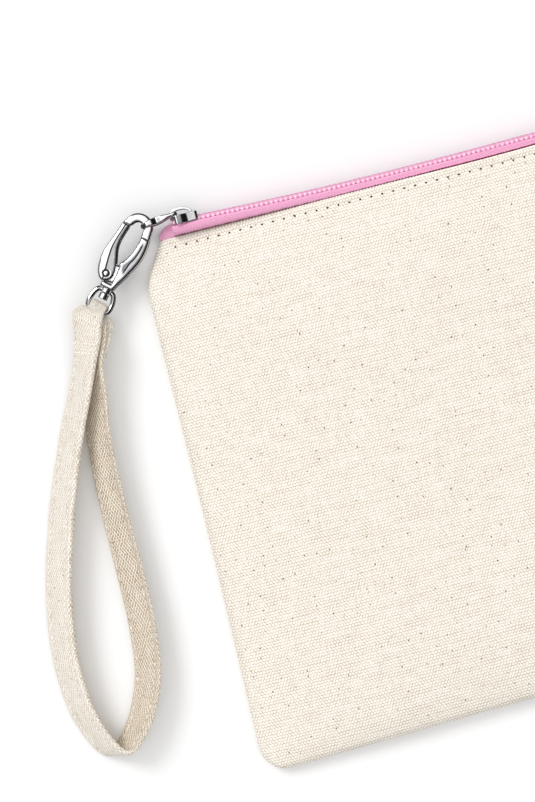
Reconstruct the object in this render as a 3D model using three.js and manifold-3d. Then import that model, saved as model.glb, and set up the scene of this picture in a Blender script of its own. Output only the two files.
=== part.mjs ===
// A wristlet pouch: a flat zipped canvas pouch with a trigger clasp and a canvas wrist strap.
// Millimetres. It lies on its back: +X runs along the zip from its closed end, +Y points out of
// the zip edge, +Z points up from the table. The origin is the middle of the flat back.
import * as THREE from 'three';
import { mergeVertices } from 'three/addons/utils/BufferGeometryUtils.js';
import Module from 'manifold-3d';

const { abs, cos, exp, max, min, PI, sin, sqrt } = Math;
const wasm = await Module();
wasm.setup();

// Pouch
const zipOpening = 220;        // between the two ends of the zip
const pouchHeight = 171;       // from the zip edge down to the bottom edge
const zipEdgeY = 86;           // where the zip edge lies, from the middle of the back
const shoulderBulge = 8.2;     // how far each side swells out just below the zip
const shoulderSlope = 0.64;    // and how fast
const lowerSpread = 3.7;       // how much further each side stands out at the bottom
const cornerRadius = 8;        // bottom corners
const bottomBow = 1.4;         // how far the bottom edge hangs at its middle
const canvasThickness = 0.95;
const seamHalf = 1.75;         // half the thickness of the sewn edges
const seamLevel = 2.5;         // height of the sewn edges' middle over the table
const mouthHalf = 2.9;         // half the spread of the panels at the middle of the zip edge
const bodyPuff = 8.2;          // how far each panel swells from the seam in the middle
const sideSwell = 58;          // width over which the swelling rises from a side
const bottomSwell = 48;        // and from the bottom
const edgeSag = 0.95;          // how far the panels' zip edge sags at its middle
const seamAllowance = 7;       // width of the raw canvas inside each seam

// Zip: a coil zip with the chain standing out of the pouch's top edge
const chainLevel = 6.1;        // height of the chain's middle over the table
const ridgeLow = 2.2;          // how far the coil stands over the zip edge in the middle
const ridgeHigh = 4.8;         // and at both ends
const ridgeCurve = 3.3;        // how fast the ridge climbs from the middle to the ends
const toothPitch = 1.57;
const toothWidth = 0.62;
const toothReach = 0.45;       // how far a tooth passes the middle of the chain
const coilRoot = 1.9;          // from the middle of the chain to the roots of the teeth
const coilHalf = 2.4;          // to the outside of the coil
const coilHeight = 1.9;
const tapeThickness = 0.5;
const tapeDepth = 8;           // how far the tape reaches down inside the pouch
const tapeStart = 4.8;         // from the zip's end to where the tape and the coil begin
const fitGap = 0.25;           // between sliding neighbours
const sewnGap = 0.15;          // between sewn neighbours

// Slider
const sliderStart = 4.8;       // from the zip's end to the slider's nose
const sliderLength = 8.8;
const sliderHalf = 4.5;
const plateThickness = 0.85;
const bridgeHalf = 1.1;
const bridgeThickness = 0.9;
const bridgeRise = 2.5;

// Puller
const pivotX = 6.9;            // its cross bar under the bridge, from the zip's end
const crossBar = 0.9;          // thickness of the cross bar
const pullerLift = 0.8;        // it rests against the upper side of the bridge
const pullerToClasp = 12.58;   // from the cross bar to the middle of the clasp's round end
const pullerLean = 186.6;      // degrees round from +X
const pullerHalf = 3.1;
const eyeThickness = 1.6;
const waistThickness = 2.2;

// Clasp
const claspLean = 228;         // degrees round from +X, from the round end to the swivel
const claspThickness = 3;
const hookInner = 2.1;         // radius inside the hook's round end
const hookWire = 2.4;          // width of the hook there
const claspRise = 0.75;        // it rests against the upper side of the puller's eye
const rivetAt = [17.4, -2.5];  // from the middle of the round end, along and across the clasp
const rivetRadius = 0.85;
const rivetHead = 1.25;
const tongueThickness = 1.2;
const slotClearance = 0.25;
const footStart = 19.95;
const footEnd = 21.4;

// Swivel and strap
const shankRadius = 0.8;
const swivelHead = 1.5;
const ringWire = 0.85;         // radius of the ring's wire
const ringHalf = 3.7;          // half the ring's width between the middles of its wires
const headDepth = 1.9;         // length of the swivel post's head
const wrapGap = 0.3;           // between the ring's bar and the strap round it
const ringGap = 0.9;           // from the swivel post's head to the strap round the bar
const strapWidth = 12.4;
const strapThickness = 1.8;
const strapGather = 5.5;       // width of the strap where it is gathered round the ring's bar
const loopDrop = 149.5;        // how far the strap's loop hangs below the zip's end
const strapLean = 0.72;        // rise of the leaning strap for each unit of its width
const stitchPitch = 3.5;
const stitchInset = 3.2;       // from the panel's edge to its row of stitches

// Where the swivel post's head ends and where the ring's bar is, along the clasp
const headStart = footEnd + 1.9;
const ringBar = headStart + headDepth + ringGap + ringWire + wrapGap + strapThickness;

const halfOpening = zipOpening / 2;
const rad = (degrees) => degrees * PI / 180;
const clamp = (value, low, high) => min(max(value, low), high);
const smooth = (value) => value * value * (3 - 2 * value);
const mix = (from, to, share) => from + (to - from) * share;

const finish = (color, roughness, metalness) => () =>
  new THREE.MeshStandardMaterial({ color, roughness, metalness });
const canvasFinish = finish(0xf3ecdf, 0.95, 0);
const strapFinish = finish(0xece2d2, 0.95, 0);
const tapeFinish = finish(0xee9fca, 0.9, 0);
const coilFinish = finish(0xf3a6d0, 0.5, 0);
const nickelFinish = finish(0x6d6f72, 0.22, 1);
const threadFinish = finish(0xe6dcc8, 0.8, 0);

// A closed geometry from points and triangles, turned so that its faces point outwards.
function closedGeometry(points, triangles) {
  const a = new THREE.Vector3();
  let volume = 0;
  for (const [i, j, k] of triangles) {
    volume += points[i].dot(a.crossVectors(points[j], points[k]));
  }
  const faces = volume < 0 ? triangles.map(([i, j, k]) => [i, k, j]) : triangles;
  const geometry = new THREE.BufferGeometry();
  const numbers = points.flatMap((point) => [point.x, point.y, point.z]);
  geometry.setAttribute('position', new THREE.Float32BufferAttribute(numbers, 3));
  geometry.setIndex(faces.flat());
  return geometry;
}

// A sheet with a thickness: two surfaces on one grid, joined round their border.
function sheetSolid(rows, columns, upper, lower) {
  const points = [];
  for (const surface of [upper, lower]) {
    for (let i = 0; i <= rows; i += 1) {
      for (let j = 0; j <= columns; j += 1) points.push(surface(i / rows, j / columns));
    }
  }
  const size = (rows + 1) * (columns + 1);
  const at = (i, j) => i * (columns + 1) + j;
  const triangles = [];
  for (let i = 0; i < rows; i += 1) {
    for (let j = 0; j < columns; j += 1) {
      const corner = [at(i, j), at(i + 1, j), at(i + 1, j + 1), at(i, j + 1)];
      triangles.push([corner[0], corner[1], corner[2]], [corner[0], corner[2], corner[3]]);
      const under = corner.map((n) => n + size);
      triangles.push([under[0], under[2], under[1]], [under[0], under[3], under[2]]);
    }
  }
  const border = [];
  for (let i = 0; i < rows; i += 1) {
    border.push([at(i, 0), at(i + 1, 0)], [at(i + 1, columns), at(i, columns)]);
  }
  for (let j = 0; j < columns; j += 1) {
    border.push([at(rows, j), at(rows, j + 1)], [at(0, j + 1), at(0, j)]);
  }
  for (const [p, q] of border) triangles.push([q, p, p + size], [q, p + size, q + size]);
  return closedGeometry(points, triangles);
}

// A loft through flat sections of equal point count, with flat ends, or joined into a ring.
function loft(sections, toSpace, ring = false) {
  const count = sections[0].length;
  const points = sections.flatMap((section, i) => section.map((point) => toSpace(point, i)));
  const triangles = [];
  const last = ring ? sections.length : sections.length - 1;
  for (let i = 0; i < last; i += 1) {
    const next = (i + 1) % sections.length;
    for (let j = 0; j < count; j += 1) {
      const k = (j + 1) % count;
      triangles.push([i * count + j, i * count + k, next * count + k]);
      triangles.push([i * count + j, next * count + k, next * count + j]);
    }
  }
  if (!ring) {
    const end = (sections.length - 1) * count;
    const turn = (section) => (THREE.ShapeUtils.area(section) > 0 ? 1 : -1);
    const cap = (section, start, flip) => {
      for (const [a, b, c] of THREE.ShapeUtils.triangulateShape(section, [])) {
        triangles.push(flip ? [start + a, start + c, start + b] : [start + a, start + b, start + c]);
      }
    };
    cap(sections[0], 0, turn(sections[0]) > 0);
    cap(sections[sections.length - 1], end, turn(sections[sections.length - 1]) < 0);
  }
  return closedGeometry(points, triangles);
}

// A flat outline given a thickness about its own plane, with its edges rounded off.
function slab(outline, thickness, rounding = 0, holes = []) {
  const shape = new THREE.Shape(outline);
  shape.holes = holes.map((hole) => new THREE.Path(hole));
  const geometry = new THREE.ExtrudeGeometry(shape, {
    depth: thickness - 2 * rounding,
    bevelEnabled: rounding > 0,
    bevelThickness: rounding,
    bevelSize: rounding,
    bevelOffset: -rounding,
    bevelSegments: 2,
    curveSegments: 12,
  });
  return geometry.translate(0, 0, rounding - thickness / 2);
}

const point2 = ([x, y]) => new THREE.Vector2(x, y);
const spline = (points, steps) => new THREE.SplineCurve(points.map(point2)).getPoints(steps);

function circle(x, y, radius, steps = 20) {
  const turn = (n) => 2 * PI * n / steps;
  return Array.from({ length: steps }, (_, n) =>
    new THREE.Vector2(x + radius * cos(turn(n)), y + radius * sin(turn(n))));
}

function solidOf(geometry) {
  const bare = geometry.clone();
  bare.deleteAttribute('normal');
  bare.deleteAttribute('uv');
  const merged = mergeVertices(bare, 1e-4);
  const mesh = new wasm.Mesh({
    numProp: 3,
    vertProperties: new Float32Array(merged.attributes.position.array),
    triVerts: new Uint32Array(merged.index.array),
  });
  return new wasm.Manifold(mesh);
}

function geometryOf(solid) {
  const mesh = solid.getMesh();
  const geometry = new THREE.BufferGeometry();
  geometry.setAttribute('position', new THREE.Float32BufferAttribute(mesh.vertProperties, 3));
  geometry.setIndex(Array.from(mesh.triVerts));
  return geometry;
}

const join = (...parts) => geometryOf(parts.map(solidOf).reduce((a, b) => a.add(b)));
const cut = (body, ...tools) =>
  geometryOf(tools.map(solidOf).reduce((a, b) => a.subtract(b), solidOf(body)));
const overlapOf = (a, b) => geometryOf(solidOf(a).intersect(solidOf(b)));

function bar(radius, from, to, x, y, steps = 20) {
  const rod = new THREE.CylinderGeometry(radius, radius, to - from, steps);
  return rod.rotateX(PI / 2).translate(x, y, (from + to) / 2);
}

function add(group, name, geometry, material) {
  const mesh = new THREE.Mesh(geometry, material());
  mesh.name = name;
  group.add(mesh);
}

// The pouch's own surfaces, with x from its middle and t down from the zip edge.
function halfWidth(t) {
  const corner = max(0, t - (pouchHeight - cornerRadius));
  const rounded = cornerRadius - sqrt(max(0, cornerRadius ** 2 - corner ** 2));
  const slant = shoulderSlope * t;
  const shoulder = slant / (1 + (slant / shoulderBulge) ** 6) ** (1 / 6);
  return halfOpening + shoulder + lowerSpread * (t / pouchHeight) ** 1.6 - rounded;
}

const across = (x) => abs(x) / halfOpening;
const swell = (distance, reach) => sqrt(max(0, 1 - (1 - clamp(distance / reach, 0, 1)) ** 2));
const zipEdge = (x) => -edgeSag * (1 - min(1, across(x)) ** 2.4);

function seamPlane(x, t) {
  const rise = (chainLevel - seamLevel) * (1 - min(1, across(x)) ** 2) ** 1.3;
  return seamLevel + rise * exp(-t / 45);
}

function puffAt(x, t) {
  const below = 1 - exp(-((t / 25) ** 1.5));
  const mouth = mouthHalf * (1 - min(1, across(x)) ** 2) ** 1.3;
  const belly = bodyPuff * swell(halfWidth(t) - abs(x), sideSwell) * swell(pouchHeight - t, bottomSwell);
  return seamHalf + mix(mouth, belly, below);
}

const frontTop = (x, t) => seamPlane(x, t) + puffAt(x, t);
const backLow = (x, t) => max(0, seamPlane(x, t) - puffAt(x, t));

function panelY(x, t) {
  const bow = bottomBow * (1 - min(1, across(x)) ** 2) * (t / pouchHeight) ** 2;
  return zipEdge(x) * (1 - t / pouchHeight) - t - bow;
}

// Rows crowd at the zip edge and round the bottom corners, columns at the sides.
function panelSpot(row, column) {
  const cornerShare = 0.22;
  const straight = pouchHeight - cornerRadius;
  const share = row / (1 - cornerShare);
  const t = share <= 1
    ? straight * share ** 1.5
    : straight + cornerRadius * sin((row - 1 + cornerShare) / cornerShare * PI / 2);
  return { x: halfWidth(t) * sin((2 * column - 1) * PI / 2), t };
}

function panel(side) {
  const outer = (x, t) => (side > 0 ? frontTop(x, t) : backLow(x, t));
  const inner = (x, t) => {
    const seam = seamPlane(x, t) + side * fitGap / 2;
    const deep = outer(x, t) - side * canvasThickness;
    return side > 0 ? max(deep, seam) : min(deep, seam);
  };
  const surface = (height) => (row, column) => {
    const { x, t } = panelSpot(row, column);
    return new THREE.Vector3(x, panelY(x, t), height(x, t));
  };
  return sheetSolid(18, 28, surface(outer), surface(inner));
}

// The raw edges of both panels, folded inwards along a side or the bottom.
const allowanceThickness = 1.4;
function sideAllowance(side) {
  const top = 14;
  const length = pouchHeight - top - cornerRadius - 4;
  const surface = (sign) => (row, column) => {
    const t = top + length * row;
    const x = side * (halfWidth(t) - 2.5 - seamAllowance * column);
    return new THREE.Vector3(x, panelY(x, t), seamPlane(x, t) + sign * allowanceThickness / 2);
  };
  return sheetSolid(10, 2, surface(1), surface(-1));
}

function bottomAllowance() {
  const reach = halfWidth(pouchHeight - 2.5) - seamAllowance - cornerRadius;
  const surface = (sign) => (row, column) => {
    const t = pouchHeight - 2.5 - seamAllowance * row;
    const x = reach * (2 * column - 1);
    return new THREE.Vector3(x, panelY(x, t), seamPlane(x, t) + sign * allowanceThickness / 2);
  };
  return sheetSolid(2, 12, surface(1), surface(-1));
}

// Zip, with x from the middle of the pouch and side 1 for the front half, -1 for the back.
const ridge = (x) => ridgeLow + min(ridgeHigh - ridgeLow, ridgeCurve * across(x) ** 2);
const fromEnd = (x) => x + halfOpening;
const parting = (x) => 1.35 * smooth(clamp((10.8 - fromEnd(x)) / 4.5, 0, 1));
const tapeMiddle = (x) => ridge(x) - coilHeight - sewnGap - tapeThickness / 2;

function tape(side) {
  const outer = side > 0 ? frontTop : backLow;
  const buried = canvasThickness + sewnGap + tapeThickness / 2;
  const stations = 40;
  const start = -halfOpening + tapeStart;
  const xs = Array.from({ length: stations + 1 }, (_, i) => mix(start, -start, i / stations));
  const sections = xs.map((x) => {
    const inside = (t) => [zipEdge(x) - t, outer(x, max(0, t)) - side * buried];
    const flat = tapeMiddle(x);
    const reach = coilHalf + 0.45;
    const tent = max(0, flat - zipEdge(x) - 1.2) / 1.4;
    const shoulder = mix(inside(0)[1], chainLevel + side * reach, 0.7 * min(1, tent));
    const middle = [
      inside(tapeDepth), inside(3), inside(-0.2),
      [mix(zipEdge(x), flat, 0.32), shoulder],
      [flat, chainLevel + side * reach],
      [flat, chainLevel + side * (0.35 + parting(x))],
    ].map(point2);
    return thicken(middle, tapeThickness / 2);
  });
  return loft(sections, (point, i) => new THREE.Vector3(xs[i], point.x, point.y));
}

// An open line of points turned into a closed outline of even thickness.
function thicken(line, half) {
  const normalAt = (i) => {
    const before = line[max(0, i - 1)];
    const here = line[i];
    const after = line[min(line.length - 1, i + 1)];
    const into = here.clone().sub(before);
    const out = after.clone().sub(here);
    const a = (i > 0 ? into : out).clone().normalize();
    const b = (i < line.length - 1 ? out : into).clone().normalize();
    const along = a.clone().add(b).normalize();
    const miter = half / max(0.55, a.dot(along));
    return new THREE.Vector2(-along.y, along.x).multiplyScalar(miter);
  };
  const left = line.map((point, i) => point.clone().add(normalAt(i)));
  const right = line.map((point, i) => point.clone().sub(normalAt(i)));
  return left.concat(right.reverse());
}

// Half of the coil: a spine with a comb of teeth that mesh with the other half's.
function coil(side) {
  const start = tapeStart + 0.6;
  const teeth = Math.floor((zipOpening - 2 * start) / toothPitch) - 1;
  const first = start + (side > 0 ? toothPitch : toothPitch / 2) - toothWidth / 2;
  const points = [];
  const put = (along, reach, top) => {
    const x = along - halfOpening;
    const y = ridge(x) - (top ? 0 : coilHeight);
    return points.push(new THREE.Vector3(x, y, chainLevel + side * (reach + parting(x)))) - 1;
  };
  const pair = (along, reach) => [put(along, reach, true), put(along, reach, false)];
  const triangles = [];
  const cap = (i, j, k) => triangles.push([i[0], k[0], j[0]], [i[1], j[1], k[1]]);
  const wall = (i, j) => triangles.push([i[0], i[1], j[1]], [i[0], j[1], j[0]]);
  let outer = pair(start, coilHalf);
  let root = pair(start, coilRoot);
  wall(outer, root);
  for (let n = 0; n < teeth; n += 1) {
    const along = first + n * toothPitch;
    const [near, far] = [pair(along, coilRoot), pair(along + toothWidth, coilRoot)];
    const [tip, end] = [pair(along, -toothReach), pair(along + toothWidth, -toothReach)];
    const next = pair(along + toothWidth / 2, coilHalf);
    wall(root, near);
    wall(near, tip);
    wall(tip, end);
    wall(end, far);
    wall(next, outer);
    cap(near, end, tip);
    cap(near, far, end);
    cap(outer, near, root);
    cap(outer, next, near);
    cap(next, far, near);
    [outer, root] = [next, far];
  }
  const [lastRoot, lastOuter] = [pair(zipOpening - start, coilRoot), pair(zipOpening - start, coilHalf)];
  wall(root, lastRoot);
  wall(lastRoot, lastOuter);
  wall(lastOuter, outer);
  cap(outer, lastRoot, root);
  cap(outer, lastOuter, lastRoot);
  return closedGeometry(points, triangles);
}

// The folded triangular end of the zip's tapes, sewn into the corner.
function tapeEnd(side) {
  const width = tapeStart - fitGap - 0.3;
  const rise = 3.4;
  const low = fitGap;
  const sections = [0, 0.5, 1].map((share) => {
    const top = low + 0.4 + rise * share;
    const middle = mix(seamLevel, seamLevel + 1, share);
    const half = mix(0.9, 1.7, share);
    return [[low, middle - half], [top, middle - half * 0.8], [top, middle + half * 0.8],
      [low, middle + half]].map(point2);
  });
  const start = 0.3;
  return loft(sections, (point, i) =>
    new THREE.Vector3(side * (halfOpening - start - width * i / 2), point.x, point.y));
}

function topstitch(side) {
  const radius = 0.26;
  const reach = halfOpening - 4;
  const stitches = Math.floor(2 * reach / stitchPitch);
  const stations = 2 * stitches;
  const xs = Array.from({ length: stations + 1 }, (_, i) => mix(-reach, reach, i / stations));
  const sections = xs.map((x, i) => {
    const crown = i % 2 ? 0.38 : 0.14;
    return [[-radius, 0], [radius, 0], [0, crown]].map(point2);
  });
  return loft(sections, (point, i) => {
    const x = xs[i];
    const z = side > 0 ? frontTop(x, stitchInset) + 0.1 : backLow(x, stitchInset) - 0.1;
    return new THREE.Vector3(x, zipEdge(x) - stitchInset + point.x, z + side * point.y);
  });
}

// Slider, with x from the zip's end, y out of the zip edge and z from the chain's middle.
const sliderEnd = sliderStart + sliderLength;
const channelTop = ridgeHigh + fitGap;
const sliderTop = channelTop + plateThickness;
const tapeTop = ridgeHigh - coilHeight - sewnGap;
const lowerTop = tapeTop - tapeThickness - fitGap;
const lowerBottom = lowerTop - plateThickness;

function planOutline(half) {
  const upper = half.map(([x, z]) => new THREE.Vector2(x, z));
  const lower = half.map(([x, z]) => new THREE.Vector2(x, -z)).reverse();
  return upper.concat(lower);
}

// A plan outline in x and z, given a thickness from one height y to another.
function platform(outline, from, to) {
  const body = new THREE.ExtrudeGeometry(new THREE.Shape(outline), { depth: to - from, bevelEnabled: false });
  return body.rotateX(PI / 2).translate(0, to, 0);
}

function sliderBody() {
  const nose = sliderStart;
  const shoulder = sliderHalf;
  const rear = coilHalf + fitGap + 0.75;
  const plan = planOutline([
    [nose, 1.7], [nose + 0.45, 3.1], [nose + 1.1, shoulder - 0.35], [nose + 2, shoulder],
    [nose + 3.6, shoulder - 0.2], [nose + 5.4, rear + 0.15], [sliderEnd - 0.6, rear], [sliderEnd, rear - 0.6],
  ]);
  const way = (x) => coilHalf + fitGap + parting(x - halfOpening) + 0.02;
  const wayXs = [nose - 1, nose + 0.6, nose + 1.8, nose + 3, nose + 4.4, nose + 5.8, sliderEnd + 1];
  const channel = planOutline(wayXs.map((x) => [x, way(x)]));
  const top = platform(plan, tapeTop + fitGap, sliderTop);
  const lowerPlan = planOutline([
    [nose + 0.2, 0.7], [nose + 1, 1.3], [nose + 2.4, 1.4], [sliderEnd - 1.4, 1.4], [sliderEnd - 0.2, 0.9],
  ]);
  const keel = platform(planOutline([
    [nose + 0.7, 0.5], [nose + 2.2, 1.2], [sliderEnd - 1.8, 1.2], [sliderEnd - 0.8, 0.6],
  ]), lowerBottom, lowerTop - plateThickness / 2);
  const lower = platform(lowerPlan, lowerTop - plateThickness / 2, lowerTop);
  const wedge = platform(planOutline([
    [nose + 0.5, 0.2], [nose + 1.4, 0.7], [nose + 2.2, 0.66], [nose + 3.4, 0.15],
  ]), lowerTop - 0.1, channelTop + 0.1);
  // The nose is only a plate: the flanges begin behind it.
  const noseGap = planOutline([[nose - 1, shoulder + 1], [nose + 1.3, shoulder + 1]]);
  const hollow = cut(top, platform(channel, tapeTop - 1, channelTop), platform(noseGap, tapeTop - 1, channelTop));
  return join(hollow, lower, keel, wedge);
}

// The high arched bridge that carries the puller.
function sliderBridge() {
  const foot = sliderTop;
  const left = sliderStart + 0.2;
  const crown = foot + bridgeRise;
  const inner = crown - bridgeThickness;
  const right = sliderStart + 7.4;
  const outerLine = spline([
    [left, foot], [left + 0.15, foot + 1.2], [left + 1.7, crown - 0.08], [left + 4.4, crown],
    [right - 0.4, foot + 1.3], [right, foot],
  ], 22);
  const innerLine = spline([
    [right - 0.75, foot], [right - 1.1, foot + 0.95], [left + 4.3, inner],
    [left + 1.95, inner - 0.05], [left + 0.85, foot + 1], [left + 0.75, foot],
  ], 22);
  return slab(outerLine.concat(innerLine), 2 * bridgeHalf);
}

// Puller, along its own length from the cross bar, with its width along z.
const eyeMiddle = pullerToClasp - hookInner - hookWire / 2;
function puller() {
  const tip = pullerToClasp - 0.9;
  const waist = 6.45;
  const armHalf = 2.95;
  const armStart = -crossBar / 2;
  const plan = planOutline([
    [armStart, armHalf - 0.7], [armStart + 0.35, armHalf - 0.15], [armStart + 1, armHalf],
    [waist - 1.6, armHalf - 0.1], [waist, pullerHalf - 0.75], [eyeMiddle - 1.2, pullerHalf - 0.05],
    [eyeMiddle + 0.6, pullerHalf], [tip - 0.75, pullerHalf - 0.7], [tip - 0.1, pullerHalf - 1.9], [tip, 0.5],
  ]);
  const slotEnd = 5.1;
  const slotHalf = bridgeHalf + pullerLift;
  const slot = planOutline([
    [crossBar / 2, slotHalf - 0.4], [crossBar / 2 + 0.4, slotHalf], [slotEnd - 0.6, slotHalf],
    [slotEnd, slotHalf - 0.8],
  ]);
  const eyeStart = eyeMiddle - hookWire / 2 - fitGap;
  const eyeEnd = tip - 0.85;
  const eyeHalf = claspThickness / 2 - 0.3 + claspRise + 0.2;
  const eye = planOutline([
    [eyeStart, eyeHalf - 0.7], [eyeStart + 0.5, eyeHalf], [eyeEnd - 0.5, eyeHalf], [eyeEnd, eyeHalf - 0.7],
  ]);
  const flat = cut(
    platform(plan, -2, 2),
    platform(slot, -3, 3),
    platform(eye, -3, 3),
  );
  const profile = [
    [armStart, 0.12], [armStart + 0.2, 0.34], [0.05, crossBar / 2], [2.4, crossBar / 2],
    [3.9, 0.75], [waist, waistThickness / 2], [eyeMiddle - 0.9, 0.92], [eyeMiddle + 0.6, eyeThickness / 2],
    [tip - 0.5, eyeThickness / 2 - 0.1], [tip, 0.3],
  ];
  return overlapOf(flat, slab(planOutline(profile), 4 * pullerHalf));
}

// Clasp, with x along it from the middle of its round end and y across it.
const hookOuter = hookInner + hookWire;
const wireThickness = claspThickness - 0.6;
// The curves below were read from the picture for a clasp 21.4 long, and grow with it.
const claspUnit = footEnd / 21.4;
const sized = (points) => points.map(([x, y]) => [x * claspUnit, y * claspUnit]);
const arc = (radius, from, to, steps) => Array.from({ length: steps + 1 }, (_, n) => {
  const angle = rad(mix(from, to, n / steps));
  return new THREE.Vector2(-radius * cos(angle), radius * sin(angle));
});

function clasp() {
  const nose = 0.25;
  const outerTop = arc(hookOuter, -80, 88, 14);
  const outerLeg = spline([
    [1.2, hookOuter + 0.25], ...sized([[3.3, 5.2], [6.6, 5.5], [10.2, 5.2], [15.9, 3.6]]),
    [footStart, 2.1], [footEnd, 1.8],
  ], 14);
  const innerLeg = spline([
    [footStart, 0.75], ...sized([[16, 0.75], [13.6, 0.45], [12.6, 0.2], [9.9, 1.75], [6, 2.5]]),
    [3, hookInner + 0.4], [1, hookInner + 0.05],
  ], 14);
  const innerTop = arc(hookInner, 84, -72, 12);
  const outline = [
    new THREE.Vector2(nose, -4.95), ...outerTop, ...outerLeg,
    new THREE.Vector2(footEnd, -2.4), new THREE.Vector2(footStart, -2.4),
    ...innerLeg, ...innerTop, new THREE.Vector2(nose, -2.45),
  ];
  const body = slab(outline, claspThickness, 0.45);
  // The round end is thinner, so that it turns freely in the puller's eye.
  const thin = slab([[-6, -7], [2.4, -7], [2.4, 7], [-6, 7]].map(point2), claspThickness * 2);
  const trim = (claspThickness * 2 + wireThickness) / 4;
  const above = thin.clone().translate(0, 0, trim + claspThickness / 2);
  const below = thin.clone().translate(0, 0, -trim - claspThickness / 2);
  const tongue = slab(spline(sized([
    [13.9, 1.4], [13.7, -1.0], [15.4, -2.9], [17.4, -4.2], [19.1, -3.5], [19.4, -1.2], [18.6, 1.6],
  ]), 20), tongueThickness);
  const shankHole = shankBore(footStart + 0.15, footEnd + 1, shankRadius + 0.2);
  const rivetHole = bar(rivetRadius + 0.15, -3, 3, ...rivetAt);
  return cut(join(cut(body, above, below), tongue), shankHole, rivetHole);
}

function shankBore(from, to, radius) {
  const rod = new THREE.CylinderGeometry(radius, radius, to - from, 16);
  return rod.rotateZ(PI / 2).translate((from + to) / 2, 0, 0);
}

function gate() {
  const start = 0.6;
  const slotStart = 12.4 * claspUnit;
  const spine = -4.95 * claspUnit;
  const outer = spline([
    [start, -0.5 - hookOuter], ...sized([
      [3.4, -5.25], [7.3, -5.8], [11, -6.35], [14.5, -6.1], [17.6, -5.2], [19.5, -3.6], [19.6, -1.9],
      [18.2, -0.4], [16, -0.1], [13.6, -0.75], [11.2, -1.75], [8.6, -2.75], [5.8, -3.05], [3, -2.85],
    ]), [start, -0.5 - hookInner],
  ], 40);
  const half = tongueThickness / 2 + slotClearance;
  const slotBox = new THREE.BoxGeometry(12, 12, 2 * half).translate(slotStart + 6, spine + 6, 0);
  const rivetHole = bar(rivetRadius + 0.15, -3, 3, ...rivetAt);
  return cut(slab(outer, claspThickness, 0.4), slotBox, rivetHole);
}

function rivet() {
  const half = claspThickness / 2;
  const headHeight = 0.35;
  return join(
    bar(rivetRadius, -half - 0.15, half + 0.15, ...rivetAt),
    bar(rivetHead, half + 0.05, half + 0.05 + headHeight, ...rivetAt),
    bar(rivetHead, -half - 0.05 - headHeight, -half - 0.05, ...rivetAt),
  );
}

// A bent leaf between the tongue and the gate's spine, which pushes the gate shut.
function gateSpring() {
  const line = spline(sized([[13.25, -2.05], [13.4, -3.3], [14.1, -4.3], [15.4, -4.65]]), 8);
  return slab(thicken(line, 0.14), tongueThickness);
}

function swivelPost() {
  const seat = footStart + 0.35;
  return join(
    shankBore(seat, headStart + 0.2, shankRadius),
    shankBore(headStart, headStart + headDepth, swivelHead),
  );
}

function swivelRing() {
  const boss = [footEnd + 0.25, footEnd + 1.65];
  const apex = (boss[0] + boss[1]) / 2;
  const path = new THREE.CatmullRomCurve3([
    [apex, 0], [apex + 0.15, 0.65 * ringHalf], [apex + 2, ringHalf - 0.3], [ringBar - 2.2, ringHalf],
    [ringBar - 0.5, ringHalf - 0.45], [ringBar, ringHalf - 1.6], [ringBar, 1.6 - ringHalf],
    [ringBar - 0.5, 0.45 - ringHalf], [ringBar - 2.2, -ringHalf], [apex + 2, 0.3 - ringHalf],
    [apex + 0.15, -0.65 * ringHalf],
  ].map(([x, y]) => new THREE.Vector3(x, y, 0)), true, 'centripetal');
  const stations = 40;
  const section = circle(0, 0, ringWire, 8);
  const sections = Array.from({ length: stations }, () => section);
  const wire = loft(sections, (point, i) => {
    const place = path.getPoint(i / stations);
    const along = path.getTangent(i / stations);
    return new THREE.Vector3(place.x - along.y * point.x, place.y + along.x * point.x, point.y);
  }, true);
  const collar = shankBore(boss[0], boss[1], 1.75);
  return cut(join(wire, collar), shankBore(boss[0] - 2, boss[1] + 0.9, shankRadius + 0.2));
}

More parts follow.
